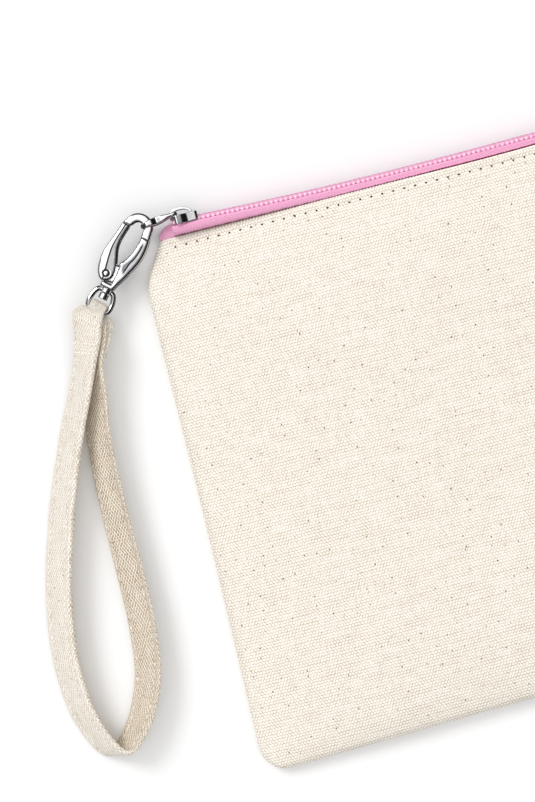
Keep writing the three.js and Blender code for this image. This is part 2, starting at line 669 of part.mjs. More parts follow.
// The strap, one band from its end under the ring, round the bar, down the left, round the
// bottom and back up to its other end between the two layers. Each station is its middle, the
// direction of its width and half its width. The loop keeps its shape when its drop changes.
function strap(claspPlace, level) {
  const lean = rad(claspLean);
  const along = new THREE.Vector3(cos(lean), sin(lean), 0);
  const wide = new THREE.Vector3(-along.y, along.x, 0);
  const barPlace = claspPlace.clone().addScaledVector(along, ringBar);
  const wrap = ringWire + wrapGap + strapThickness / 2;
  const half = strapWidth / 2;
  const gather = strapGather / 2;
  const across = (x, y, up) => new THREE.Vector3(x, y, 0).normalize()
    .multiplyScalar(sqrt(1 - up ** 2)).setZ(up);
  const leaning = (x, y) => across(x, y, strapLean);
  const rest = strapLean * half + sqrt(1 - strapLean ** 2) * strapThickness / 2 + 0.15;
  const layer = strapThickness + 0.3;
  // Places in the loop are read from the picture as shares of its drop, from the ring's bar.
  const from = (x, y, up) => {
    const share = loopDrop / 149.5;
    return new THREE.Vector3(barPlace.x + (x + 25.03) * share, barPlace.y + (y + 16.29) * share, up);
  };
  const turn = (degrees) => {
    const angle = rad(degrees);
    const place = barPlace.clone().addScaledVector(along, -wrap * sin(angle));
    return [place.setZ(level - wrap * cos(angle)), wide, gather];
  };
  // Past the bar the band spreads, the upper layer to the left and the lower to the right.
  const past = (distance, side, spread) => {
    const place = barPlace.clone().addScaledVector(along, distance).addScaledVector(wide, -0.7 * side);
    return [place.setZ(level + side * wrap), wide, gather + spread];
  };
  // The three layers that are sewn together lie on one another and lean to the left.
  const stacked = (x, y, up, tilt, number) => {
    const way = across(0.93, -0.37, tilt);
    const normal = new THREE.Vector3(-0.93 * tilt, 0.37 * tilt, sqrt(1 - tilt ** 2));
    return [from(x, y, up).addScaledVector(normal, number * layer), way, half];
  };
  const stations = [
    stacked(-31, -29.2, 7.3, 0.5, -1),
    stacked(-29.2, -24.4, 7.2, 0.45, -1),
    past(3.8, -1, 2.15), past(1.6, -1, 1.15),
    turn(0), turn(45), turn(90), turn(135), turn(180),
    past(1.6, 1, 1.15), past(3.8, 1, 2.15),
    stacked(-29.2, -24.4, 7.2, 0.45, 1),
    stacked(-31.6, -31, 7.2, 0.52, 1),
    [from(-37, -39.5, rest + 1), across(0.92, -0.4, strapLean - 0.06), half],
    [from(-43.8, -54, rest), leaning(0.92, -0.38), half],
    [from(-53.3, -77.7, rest), leaning(0.94, -0.33), half],
    [from(-60.6, -102, rest), leaning(0.96, -0.28), half],
    [from(-63.6, -124, rest), leaning(0.98, -0.2), half],
    [from(-61.2, -141, rest), leaning(1, -0.12), half],
    [from(-54.5, -149.5, rest), leaning(1, -0.08), half],
    [from(-46.4, -146, rest), leaning(1, -0.05), half],
    [from(-40.3, -133.8, rest), leaning(1, -0.03), half],
    [from(-37.1, -116, rest), leaning(1, 0), half],
    [from(-36.5, -95.4, rest), leaning(1, 0), half],
    [from(-36.2, -75, rest), leaning(1, -0.03), half],
    [from(-34.6, -56, rest), leaning(1, -0.12), half],
    [from(-32.6, -42, rest + 0.1), across(0.97, -0.25, strapLean - 0.06), half],
    stacked(-31.4, -31.5, 7.2, 0.52, 0),
    stacked(-29.8, -26, 7.2, 0.47, 0),
  ];
  const middle = new THREE.CatmullRomCurve3(stations.map(([place]) => place), false, 'centripetal');
  const widths = new THREE.CatmullRomCurve3(
    stations.map(([, way, size]) => way.clone().multiplyScalar(size)), false, 'catmullrom');
  const steps = 70;
  const edge = strapThickness / 2;
  const shape = [[-1, -0.5], [-0.94, -1], [0.94, -1], [1, -0.5], [1, 0.5], [0.94, 1], [-0.94, 1], [-1, 0.5]];
  const section = shape.map(point2);
  return loft(Array.from({ length: steps + 1 }, () => section), (point, i) => {
    const place = middle.getPoint(i / steps);
    const way = widths.getPoint(i / steps);
    const out = middle.getTangent(i / steps).cross(way).normalize();
    return place.addScaledVector(way, point.x).addScaledVector(out, edge * point.y);
  });
}

const pouch = new THREE.Group();
pouch.position.set(0, zipEdgeY, 0);
add(pouch, 'front_panel', panel(1), canvasFinish);
add(pouch, 'back_panel', panel(-1), canvasFinish);
add(pouch, 'seam_allowance_left', sideAllowance(-1), canvasFinish);
add(pouch, 'seam_allowance_right', sideAllowance(1), canvasFinish);
add(pouch, 'seam_allowance_bottom', bottomAllowance(), canvasFinish);
add(pouch, 'zip_tape_front', tape(1), tapeFinish);
add(pouch, 'zip_tape_back', tape(-1), tapeFinish);
add(pouch, 'zip_coil_front', coil(1), coilFinish);
add(pouch, 'zip_coil_back', coil(-1), coilFinish);
add(pouch, 'zip_tape_end_left', tapeEnd(-1), tapeFinish);
add(pouch, 'zip_tape_end_right', tapeEnd(1), tapeFinish);
add(pouch, 'topstitch_front', topstitch(1), threadFinish);
add(pouch, 'topstitch_back', topstitch(-1), threadFinish);

// What moves is placed from the closed end of the zip.
const closedEnd = new THREE.Group();
closedEnd.position.set(-halfOpening, zipEdgeY, 0);

const slider = new THREE.Group();
slider.position.set(0, 0, chainLevel);
add(slider, 'slider_body', sliderBody(), nickelFinish);
add(slider, 'slider_bridge', sliderBridge(), nickelFinish);
closedEnd.add(slider);

const pivotPlace = new THREE.Vector3(pivotX, sliderTop + fitGap + crossBar / 2 + 0.15, chainLevel + pullerLift - fitGap);
const pullerWay = new THREE.Vector3(cos(rad(pullerLean)), sin(rad(pullerLean)), 0);
const pullerGroup = new THREE.Group();
pullerGroup.position.copy(pivotPlace);
pullerGroup.rotation.z = rad(pullerLean);
add(pullerGroup, 'puller', puller(), nickelFinish);
closedEnd.add(pullerGroup);

const claspPlace = pivotPlace.clone().addScaledVector(pullerWay, pullerToClasp);
claspPlace.z += claspRise;
const claspGroup = new THREE.Group();
claspGroup.position.copy(claspPlace);
claspGroup.rotation.z = rad(claspLean);
add(claspGroup, 'clasp_hook', clasp(), nickelFinish);
add(claspGroup, 'clasp_gate', gate(), nickelFinish);
add(claspGroup, 'gate_rivet', rivet(), nickelFinish);
add(claspGroup, 'gate_spring', gateSpring(), nickelFinish);
add(claspGroup, 'swivel_post', swivelPost(), nickelFinish);
add(claspGroup, 'swivel_ring', swivelRing(), nickelFinish);
closedEnd.add(claspGroup);

add(closedEnd, 'wrist_strap', strap(claspPlace, claspPlace.z), strapFinish);

const wristletPouch = new THREE.Group();
wristletPouch.add(pouch, closedEnd);

export default wristletPouch;
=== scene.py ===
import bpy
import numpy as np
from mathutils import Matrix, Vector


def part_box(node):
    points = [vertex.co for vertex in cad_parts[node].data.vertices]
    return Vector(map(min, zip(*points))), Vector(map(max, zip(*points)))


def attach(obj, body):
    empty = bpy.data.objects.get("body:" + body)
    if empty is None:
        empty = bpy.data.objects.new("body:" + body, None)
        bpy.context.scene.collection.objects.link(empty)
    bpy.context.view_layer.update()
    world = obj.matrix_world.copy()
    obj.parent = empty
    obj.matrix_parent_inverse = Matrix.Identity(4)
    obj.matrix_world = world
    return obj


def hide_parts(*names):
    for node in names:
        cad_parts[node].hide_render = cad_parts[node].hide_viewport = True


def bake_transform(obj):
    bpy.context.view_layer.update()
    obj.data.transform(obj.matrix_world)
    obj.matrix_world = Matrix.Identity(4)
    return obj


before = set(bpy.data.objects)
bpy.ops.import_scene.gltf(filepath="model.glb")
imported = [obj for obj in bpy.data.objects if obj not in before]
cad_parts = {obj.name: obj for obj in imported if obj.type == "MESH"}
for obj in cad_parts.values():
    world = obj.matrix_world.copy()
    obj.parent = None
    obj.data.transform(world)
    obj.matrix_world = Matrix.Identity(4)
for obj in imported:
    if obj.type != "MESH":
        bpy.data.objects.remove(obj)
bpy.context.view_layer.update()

# %% [markdown]
# # A canvas wristlet pouch
# The pouch lies on its back and is seen from straight above. Its frame is a set of solids that
# already have their places and their joints. Each cell below dresses one of them: canvas, zip,
# dark nickel fittings and the wrist strap. Lengths are worked out in millimetres, as a maker
# would measure them, and turned to metres as the mesh is made.

MM = 0.001
scene = bpy.context.scene
print("solids:", sorted(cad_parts))

# %% [markdown]
# ## Colours and nodes
# A material is a small graph of nodes. One function adds a node and links it to what feeds it, one
# turns a colour from the hex digits that a screen uses to the linear values of light, and one
# links a finished colour and its relief to the shader.

# %% Helpers for colours, nodes and materials


def linear(code):
    """Six sRGB hex digits, turned to the linear values that a shader wants. A bare number is a
    grey of that brightness already."""
    if not isinstance(code, str):
        return (code, code, code, 1.0)
    srgb = np.array([int(code[i:i + 2], 16) for i in (0, 2, 4)]) / 255
    flat = np.where(srgb <= 0.04045, srgb / 12.92, ((srgb + 0.055) / 1.055) ** 2.4)
    return (*flat.tolist(), 1.0)


def add_node(tree, kind, inputs=(), stops=(), **settings):
    """One node with its settings and links. Inputs are listed in order or named; each is a value,
    a colour's code, a socket that feeds it, or a node whose first output does. Stops are the
    places and colours along a ramp."""
    made = tree.nodes.new("ShaderNode" + kind)
    for key, value in settings.items():
        setattr(made, key, value)
    for key, value in inputs.items() if isinstance(inputs, dict) else enumerate(inputs):
        if isinstance(value, bpy.types.Node):
            value = value.outputs[0]
        if isinstance(value, bpy.types.NodeSocket):
            tree.links.new(value, made.inputs[key])
        else:
            made.inputs[key].default_value = linear(value) if isinstance(value, str) else value
    for _ in stops[2:]:
        made.color_ramp.elements.new(0.5)
    for number, (place, _) in enumerate(stops):
        made.color_ramp.elements[number].position = place
    for number, (_, colour) in enumerate(stops):
        made.color_ramp.elements[number].color = linear(colour)
    return made


def new_material(name, **sockets):
    """A Principled material, with values that are even all over set on its own sockets."""
    material = bpy.data.materials.new(name)
    material.use_nodes = True
    shader = material.node_tree.nodes["Principled BSDF"]
    for key, value in sockets.items():
        shader.inputs[key.replace("_", " ")].default_value = value
    return material, material.node_tree, shader


def surface(tree, shader, colour, height=None, strength=0.0, depth=0.0):
    """Links a colour to the shader, and a height as a bump: its strength and depth, in mm."""
    tree.links.new(colour, shader.inputs["Base Color"])
    if height:
        bump = add_node(tree, "Bump", {"Height": height, "Strength": strength,
                                       "Distance": depth * MM})
        tree.links.new(bump.outputs[0], shader.inputs["Normal"])
    print("material of", len(tree.nodes), "nodes")


# %% [markdown]
# ## Camera and light
# The picture is taken from straight above with a long lens, with the pouch turned about fifteen
# degrees. One broad lamp from the upper left gives the soft shadow on the right of the strap.
# The world is bright overhead and darker towards the horizon: cloth doesn't notice, but polished
# metal needs something dark to reflect or it looks like plastic.

# %% Camera and lamp
camera_at = Vector((-90.3, 27.8, 713.0)) * MM
picture_up = Vector((0.2596, 0.9657, 0.0))
picture_right = Vector((0.9657, -0.2596, 0.0))
scene.view_settings.view_transform = "Standard"
lens = bpy.data.cameras.new("long_lens")
lens.lens, lens.sensor_width = 100, 36
camera = bpy.data.objects.new("camera", lens)
camera.matrix_world = Matrix((picture_right, picture_up,
                              picture_right.cross(picture_up))).transposed().to_4x4()
camera.location = camera_at
scene.collection.objects.link(camera)
scene.camera = camera

lamp_side = (-0.66 * picture_right + 0.56 * picture_up).normalized()
lamp_from = (lamp_side + Vector((0, 0, 0.95))).normalized()
lamp = bpy.data.lights.new("window_lamp", "SUN")
lamp.energy, lamp.angle = 1.2, 0.45
lamp_object = bpy.data.objects.new("window_lamp", lamp)
lamp_object.matrix_world = (-lamp_from).to_track_quat("-Z", "Y").to_matrix().to_4x4()
scene.collection.objects.link(lamp_object)
print("camera", round(camera_at.z / MM), "mm up, lamp from", [round(v, 2) for v in lamp_from])

# %% World: one sky for cloth, one for metal
world = bpy.data.worlds.new("studio")
world.use_nodes = True
scene.world = world
wt = world.node_tree
wt.nodes.clear()
way = add_node(wt, "TexCoord").outputs["Generated"]
height_of_way = add_node(wt, "SeparateXYZ", [way]).outputs["Z"]
tent = add_node(wt, "ValToRGB", [height_of_way],
                [(0.05, 0.14), (0.35, 0.42), (0.62, 1.0), (0.95, 1.35)])
# What polished metal sees: a ceiling that is white to the left and dark to the right, over a
# dark room, and a pale card low on the left.
ceiling = add_node(wt, "ValToRGB", [height_of_way],
                   [(0.30, 0.02), (0.73, 0.05), (0.86, 0.75), (0.96, 1.3)])
to_left = tuple(-0.42 * picture_right + 0.22 * picture_up)
leftness = add_node(wt, "VectorMath", [way, to_left], operation="DOT_PRODUCT")
leftness = add_node(wt, "Math", [leftness.outputs["Value"], 0.5], operation="ADD")
slope = add_node(wt, "ValToRGB", [leftness],
                 [(0.34, 0.05), (0.46, 0.36), (0.51, 1.0), (0.62, 2.0)])
card = add_node(wt, "ValToRGB", [leftness], [(0.84, 0.0), (0.92, 0.6)])
metal_sees = add_node(wt, "VectorMath", [ceiling, slope], operation="MULTIPLY")
metal_sees = add_node(wt, "VectorMath", [metal_sees, card], operation="ADD")
seen_by = add_node(wt, "LightPath").outputs
sky = add_node(wt, "Background", {"Color": tent, "Strength": 0.90})
for ray, colour in (("Is Glossy Ray", metal_sees), ("Is Camera Ray", (1, 1, 1, 1))):
    other = add_node(wt, "Background", {"Color": colour, "Strength": 1.0})
    sky = add_node(wt, "MixShader", [seen_by[ray], sky, other])
add_node(wt, "OutputWorld", {"Surface": sky})
print("world of", len(wt.nodes), "nodes")

# %% Floor of white paper, a little grey where metal reflects it
REACH, BELOW = 1.6, 0.0002           # metres
floor_mesh = bpy.data.meshes.new("table_top")
floor_mesh.from_pydata([(x * REACH, y * REACH, -BELOW)
                        for x, y in ((-1, -1), (1, -1), (1, 1), (-1, 1))], [], [(0, 1, 2, 3)])
table_top = bpy.data.objects.new("table_top", floor_mesh)
paper, pt, ps = new_material("white_paper", Roughness=0.9, Specular_IOR_Level=0.0)
sheet_tone = add_node(pt, "Mix", {"Factor": add_node(pt, "LightPath").outputs["Is Glossy Ray"],
                                  6: "F3F3F3", 7: "606060"}, data_type="RGBA")
surface(pt, ps, sheet_tone.outputs[2])
floor_mesh.materials.append(paper)
scene.collection.objects.link(table_top)
print("floor", 2 * REACH, "m wide")

# %% [markdown]
# ## Making surfaces
# Every new piece is a grid of points worked out by a formula, row by row. The helpers below turn
# grids into closed meshes: a shell joins two grids round their border, and a sweep carries a
# profile along a path and closes its ends.

# %% Helpers that turn grids of points into closed meshes


def mesh_piece(name, points, faces, uv=None, material=None, sharp=None):
    """A smooth mesh from points in millimetres. uv gives each face corner its place on the cloth;
    an edge between two points of sharp is a sharp one. The faces are turned over if the closed
    mesh's volume comes out negative."""
    points, faces = np.asarray(points, float).reshape(-1, 3), np.asarray(faces, int)
    a, b, c, d = (points[faces[:, k]] for k in range(4))
    volume = np.einsum("ij,ij->i", a, np.cross(b, c) + np.cross(c, d)).sum()
    if volume < 0:
        faces = faces[:, ::-1]
        uv = None if uv is None else uv[:, ::-1]
    mesh = bpy.data.meshes.new(name)
    mesh.from_pydata((points * MM).tolist(), [], faces.tolist())
    mesh.polygons.foreach_set("use_smooth", [True] * len(faces))
    if uv is not None:
        flat = np.asarray(uv, float).reshape(-1)
        mesh.uv_layers.new(name="cloth").data.foreach_set("uv", flat)
    if sharp is not None:
        mesh.update(calc_edges=True)
        ends = np.empty(2 * len(mesh.edges), int)
        mesh.edges.foreach_get("vertices", ends)
        flags = np.isin(ends, sharp).reshape(-1, 2).all(1)
        mesh.attributes.new("sharp_edge", "BOOLEAN", "EDGE").data.foreach_set("value", flags)
    mesh.materials.append(material)
    mesh.update()
    piece = bpy.data.objects.new(name, mesh)
    scene.collection.objects.link(piece)
    return piece


def paint(piece, name, values):
    """An attribute of a piece: one number for each point, which a material may read."""
    piece.data.attributes.new(name, "FLOAT", "POINT").data.foreach_set("value", values)


def grid_faces(rows, columns, wrap_columns=False):
    """Quads between neighbours of a rows-by-columns grid of point numbers."""
    number = np.arange(rows * columns).reshape(rows, columns)
    if wrap_columns:
        number = np.hstack([number, number[:, :1]])
    return np.stack([number[:-1, :-1], number[1:, :-1], number[1:, 1:], number[:-1, 1:]],
                    -1).reshape(-1, 4)


def shell(upper, lower):
    """Points and quads of a closed sheet: two grids, with their four borders joined by walls."""
    rows, columns = upper.shape[:2]
    size = rows * columns
    number = np.arange(size).reshape(rows, columns)
    ring = np.concatenate([number[:-1, 0], number[-1, :-1], number[:0:-1, -1], number[0, :0:-1]])
    after = np.roll(ring, -1)
    walls = np.stack([ring, ring + size, after + size, after], -1)
    top = grid_faces(rows, columns)
    faces = np.vstack([top, top[:, ::-1] + size, walls])
    return np.vstack([upper.reshape(-1, 3), lower.reshape(-1, 3)]), faces


def sweep(sections):
    """Points and quads of a tube through closed sections, its ends closed by shrinking rings."""
    sections = np.asarray(sections, float)
    first, last = sections[0].mean(0), sections[-1].mean(0)
    rings = np.concatenate([[first + 0.02 * (sections[0] - first)], sections,
                            [last + 0.02 * (sections[-1] - last)]])
    rows, columns = rings.shape[:2]
    points = np.vstack([rings.reshape(-1, 3), [first], [last]])
    start, end, tail = rows * columns, rows * columns + 1, (rows - 1) * columns
    here = np.arange(0, columns, 2)
    near, far = (here + 1) % columns, (here + 2) % columns
    caps = [np.stack([np.full(len(here), start), here, near, far], -1),
            np.stack([np.full(len(here), end), tail + far, tail + near, tail + here], -1)]
    return points, np.vstack([grid_faces(rows, columns, wrap_columns=True), *caps])


def circle(count):
    """The cosines and sines of evenly spaced angles round a circle."""
    angle = np.linspace(0, 2 * np.pi, count, endpoint=False)
    return np.cos(angle), np.sin(angle)


def unit(v):
    """Each vector, divided by its length."""
    return v / np.maximum(np.linalg.norm(v, axis=-1, keepdims=True), 1e-9)


def bell(x, middle, width):
    """1 at the middle, falling off as e to the minus the square of the distance over the width."""
    return np.exp(-(((x - middle) / width) ** 2))


def merged(parts):
    """Several point-and-quad pairs as one."""
    points, faces, count = [], [], 0
    for p, f in parts:
        points.append(p)
        faces.append(f + count)
        count += len(p)
    return np.vstack(points), np.vstack(faces)


def thread_bars(middles, along, out, length, radius, sink=0.12, rings=9, around=8):
    """Rounded bars of thread: rings of a few points, fat in the middle, sunk at both ends."""
    s = np.linspace(-1, 1, rings)
    fat = (radius * np.sqrt(np.maximum(0.02, 1 - np.abs(s) ** 5)))[:, None]
    drop = (-sink * np.abs(s) ** 3)[:, None]
    across, up = circle(around)
    along, out = unit(along), unit(out)
    wide = np.cross(along, out)
    sections = (middles[:, None, None, :]
                + along[:, None, None, :] * (s * length / 2)[:, None, None]
                + out[:, None, None, :] * (drop + fat * up)[..., None]
                + wide[:, None, None, :] * (fat * across)[..., None])
    return merged([sweep(bar) for bar in sections])


def dress(piece, node=None, body="pouch", from_side=0):
    """Finishes a piece: hides the solid that it takes the place of, and puts the piece in its body.
    With from_side, -1 or 1, its place is baked into its mesh instead, and it goes in no body."""
    if node:
        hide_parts(node)
    if from_side:
        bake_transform(piece)
    else:
        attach(piece, body)
    print(piece.name, len(piece.data.polygons), "faces")


# %% [markdown]
# ## Undyed canvas
# The cloth is a plain weave of cotton left unbleached: heavy crosswise yarns about 0.93 mm apart
# over warp yarns 0.5 mm apart. Each float shows as a small bright pillow with a shaded corner
# between it and the next, and bits of seed husk show as brown flecks. The pattern is a product of
# two cosines, which is positive on one colour of a chessboard and negative on the other: that is
# what a plain weave is. Yarns vary in thickness, so slow noise shifts and shades them.

# %% Canvas material


def canvas_material(name, pale, shade, strength, flecks=1.0, by_band=False, pitch=(0.50, 0.93),
                    shaded=None):
    """Plain-weave cotton; pitch is the yarns' spacing in millimetres. by_band takes places from
    the piece's own measure along and across it. shaded names an attribute of the piece that marks
    painted shade, and the tints that valleys and floats take where it is 1."""
    material, tree, shader = new_material(name, Roughness=0.92, Sheen_Weight=0.12,
                                          Sheen_Roughness=0.6, Specular_IOR_Level=0.18)
    if by_band:
        mm = add_node(tree, "UVMap", uv_map="cloth")
    else:
        place = add_node(tree, "TexCoord").outputs["Object"]
        mm = add_node(tree, "Mapping", {"Vector": place, "Scale": (1 / MM,) * 3})
    slow = add_node(tree, "TexNoise", {"Vector": mm, "Scale": 0.55, "Detail": 3.0})
    shift = add_node(tree, "VectorMath", [slow.outputs["Color"], (0.5, 0.5, 0.5)],
                     operation="SUBTRACT")
    bent = add_node(tree, "VectorMath", [shift, (0.55, 0.45, 0.0), mm], operation="MULTIPLY_ADD")
    xyz = add_node(tree, "SeparateXYZ", [bent])
    found = {"x": xyz.outputs[0], "y": xyz.outputs[1]}
    # Uneven yarns lengthwise and crosswise, fuzz, and patches where the cloth has been pulled on
    # the bias or where the floats stand out more. Scales are in waves per millimetre.
    for key, scale, detail, stretch in (
            ("weft_yarn", 1.0, 2.0, (0.12, 1.1, 1.1)), ("warp_yarn", 1.0, 2.0, (2.0, 0.14, 2.0)),
            ("fuzz", 4.0, 4.0, None), ("pulled", 0.30, 2.0, None), ("patchy", 1.3, 2.0, None)):
        spot = add_node(tree, "Mapping", {"Vector": mm, "Scale": stretch}) if stretch else mm
        found[key] = add_node(tree, "TexNoise", {"Vector": spot, "Scale": scale, "Detail": detail})
    cell = add_node(tree, "TexVoronoi", {"Vector": mm, "Scale": 0.24, "Randomness": 1.0},
                    voronoi_dimensions="2D")
    found["distance"] = cell.outputs["Distance"]
    found["chance"] = add_node(tree, "SeparateColor", [cell.outputs["Color"]])
    for key, source, low, high, least, most in (("lean", "pulled", 0.35, 0.65, 0.34, 0.74),
                                                ("vivid", "patchy", 0.3, 0.7, 0.45, 1.55)):
        found[key] = add_node(tree, "MapRange", [found[source], low, high, least, most])
    # Each row names a result, its operation and its terms. A product of two cosines is half the
    # sum of two diagonal waves; pulled cloth shows one diagonal more than the other. The crosswise
    # yarns bow up at every second crossing, with a valley between. A fleck's radius in cells comes
    # from its cell's own random colour; most cells have none.
    for key, operation, *terms in (
            ("warp", "MULTIPLY", "x", np.pi / pitch[0]),
            ("weft", "MULTIPLY", "y", np.pi / pitch[1]),
            ("rising", "ADD", "warp", "weft"), ("rising", "COSINE", "rising"),
            ("falling", "SUBTRACT", "warp", "weft"), ("falling", "COSINE", "falling"),
            ("rest", "SUBTRACT", 1.04, "lean"), ("rising", "MULTIPLY", "rising", "lean"),
            ("falling", "MULTIPLY", "falling", "rest"), ("chess", "ADD", "rising", "falling"),
            ("row", "MULTIPLY", "y", 2 * np.pi / pitch[1]), ("row", "COSINE", "row"),
            ("row", "MULTIPLY", "row", 0.22), ("height", "MULTIPLY_ADD", "chess", 0.34, "row"),
            ("tone", "MULTIPLY", "height", "vivid"), ("tone", "MULTIPLY", "tone", 1.1),
            ("tone", "MULTIPLY_ADD", "weft_yarn", 0.4, "tone"),
            ("tone", "MULTIPLY_ADD", "warp_yarn", 0.4, "tone"),
            ("tone", "MULTIPLY_ADD", "fuzz", 0.62, "tone"),
            ("fleck", "SUBTRACT", "chance", 0.30), ("fleck", "MAXIMUM", "fleck", 0.0),
            ("fleck", "MULTIPLY", "fleck", 0.10), ("fleck", "SUBTRACT", "fleck", "distance"),
            ("relief", "MULTIPLY_ADD", "fuzz", 0.5, "height")):
        inputs = [found.get(term, term) for term in terms]
        found[key] = add_node(tree, "Math", inputs, operation=operation)
    weave = add_node(tree, "ValToRGB", [found["tone"]], [(0.04, shade), (0.94, pale)])
    fleck = add_node(tree, "MapRange", [found["fleck"], -0.015, 0.03, 0.0, 0.95 * flecks])
    colour = add_node(tree, "Mix", {"Factor": fleck, 6: weave, 7: "5A4130"},
                      data_type="RGBA").outputs[2]
    # Painted shade: where the attribute is 1, the colour is multiplied by a darker tint, darker
    # still in the weave's valleys.
    if shaded:
        where = add_node(tree, "Attribute", attribute_name=shaded[0]).outputs["Fac"]
        painted_shade = add_node(tree, "ValToRGB", [found["tone"]], [(0.36, shaded[1]), (0.94, shaded[2])])
        colour = add_node(tree, "Mix", {"Factor": where, 6: colour, 7: painted_shade},
                          data_type="RGBA", blend_type="MULTIPLY").outputs[2]
    surface(tree, shader, colour, found["relief"], strength, 0.14)
    return material


canvas = canvas_material("undyed_cotton_canvas", "FEFAF2", "B79F7F", 0.9)
lining_canvas = canvas_material("undyed_canvas_inside", "F2E9DA", "B09C7C", 0.7)

# %% Thread material


def thread_material(name, dark, light):
    """Twisted cotton thread: two plies that wind round each other, a little uneven in tone."""
    material, tree, shader = new_material(name, Roughness=0.7, Sheen_Weight=0.2)
    place = add_node(tree, "TexCoord").outputs["Object"]
    ply = add_node(tree, "TexWave", {"Vector": place, "Scale": 900.0, "Distortion": 1.5},
                   bands_direction="DIAGONAL")
    spun = add_node(tree, "TexNoise", {"Vector": place, "Scale": 800.0, "Detail": 2.0})
    tone = add_node(tree, "ValToRGB", [spun], [(0.35, dark), (0.65, light)])
    surface(tree, shader, tone.outputs[0], ply.outputs["Fac"], 0.4, 0.1)
    return material


thread = thread_material("undyed_sewing_thread", "F4ECDD", "FFFCF5")
# A darker copy of the sewing thread: painted shade, toned to the strap's shaded inner side; it is
# used on all the strap's topstitches and edge beads.
strap_thread = thread_material("shaded_strap_thread", "D9CCB6", "FBF4E8")

# %% [markdown]
# ## The pouch's body
# Two canvas panels are sewn together round three sides and turned, so each edge is a soft roll.
# The front lifts off the back in the middle, where the cloth is free, and is held flat by the
# seams. The surface is a height over the plan: the seam's level, plus a rise that depends on the
# distance to each seam. Where the zip opens, the front has to part from the back in the middle
# and stay joined at both sides, so it is made as two halves.
# Places are x along the zip and t, the depth below the zip edge.

# %% The panels' own shape, from the pouch's measures
ZIP_EDGE_Y, HALF_OPENING = 86.0, 110.0          # the zip edge's place, and half the zip's length
POUCH_HEIGHT, CORNER, CLOTH = 171.0, 9.0, 0.95
SEAM_LEVEL, SEAM_HALF, CHAIN_LEVEL = 2.5, 1.75, 6.1
STITCH, FIRST_HOLE = 3.553, 0.6                 # stitch length, and the first hole from the side
HALVES = (("left", -1), ("right", 1))


def half_width(t):
    """Half the width at a depth: half the zip, plus a shoulder that slants out and stops at 8.2,
    plus a slow flare, minus the rounding of the bottom corner."""
    corner = np.maximum(0, t - (POUCH_HEIGHT - CORNER))
    rounded = CORNER - np.sqrt(np.maximum(0, CORNER ** 2 - corner ** 2))
    slant = 0.64 * t
    shoulder = slant / (1 + (slant / 8.2) ** 6) ** (1 / 6)
    return HALF_OPENING + shoulder + 3.7 * (t / POUCH_HEIGHT) ** 1.6 - rounded


def share_across(x):
    """0 in the middle of the zip, 1 at its ends."""
    return np.minimum(1, np.abs(x) / HALF_OPENING)


def lens_share(x):
    """The shape of the mouth's slack: 1 in the middle, 0 at the zip's ends."""
    return (1 - share_across(x) ** 2) ** 1.3


def round_off(distance, radius):
    """1 away from an edge, falling to 0 at it as a quarter circle does."""
    return np.sqrt(np.maximum(0, 1 - (1 - np.clip(distance / radius, 0, 1)) ** 2))


def zip_edge(x):
    """The hem sags between the corners, most in the middle, where nothing pulls it straight."""
    return (-0.95 * (1 - share_across(x) ** 2.4) - 1.15 * bell(x, 0, 30)
            - 0.52 * bell(np.abs(x), 48, 34))


def seam_plane(x, t):
    """The level between the panels: the side seam's, rising to the chain's in the mouth."""
    return SEAM_LEVEL + (CHAIN_LEVEL - SEAM_LEVEL) * lens_share(x) * np.exp(-t / 45)


def puff(x, t):
    """How far a panel stands off that level: the mouth's gap at the top, the belly below."""
    below = 1 - np.exp(-((t / 25) ** 1.5))
    mouth = 2.9 * lens_share(x)
    belly = 8.2 * round_off(half_width(t) - np.abs(x), 58) * round_off(POUCH_HEIGHT - t, 48)
    return SEAM_HALF + mouth + (belly - mouth) * below


def panel_y(x, t):
    """Place up the plan; the bottom seam hangs lower towards its corners."""
    down = t / POUCH_HEIGHT
    bow = (0.45 + 1.55 * share_across(x) ** 1.5) * down ** 2
    return zip_edge(x) * (1 - down) - t - bow + ZIP_EDGE_Y


def ripples(x, t):
    """Slack in the cloth: a few long shallow waves, none at the sides or across the middle line."""
    calm = round_off(half_width(t) - np.abs(x), 30) * round_off(POUCH_HEIGHT - t, 30)
    waves = (0.30 * np.sin(x / 17 + t / 29 + 1.3) * np.sin(t / 23 + 0.4)
             + 0.22 * np.sin(x / 9.5 - t / 21) * bell(t, 20, 26)
             + 0.25 * np.sin(x / 31 + t / 12.5 + 2.0) * round_off(t, 60))
    return waves * calm * (1 - bell(x, 0, 14))


def outer_height(side, x, t):
    """Height of a panel's outer face: rolled over at the seams, with the hem's groove and slack."""
    edge = np.minimum(half_width(t) - np.abs(x), POUCH_HEIGHT - t)
    seam = seam_plane(x, t)
    rise = puff(x, t) * (0.04 + 0.96 * round_off(edge, 2.1))
    # The hem's stitches pull a shallow groove, and the hem is a doubled fold above it.
    groove = -0.22 * bell(t, 2.9, 0.5) + 0.18 * bell(t, 1.4, 1.0)
    from_hole = (x + HALF_OPENING - FIRST_HOLE) / STITCH
    pucker = 0.08 * np.cos(2 * np.pi * from_hole) * bell(t, 3.2, 1.1)
    detail = (groove + pucker) * round_off(edge, 6)
    if side > 0:
        return seam + rise + ripples(x, t) + detail
    level = np.maximum(0, seam - rise)
    return level - np.where(level > 0.35, detail, 0)


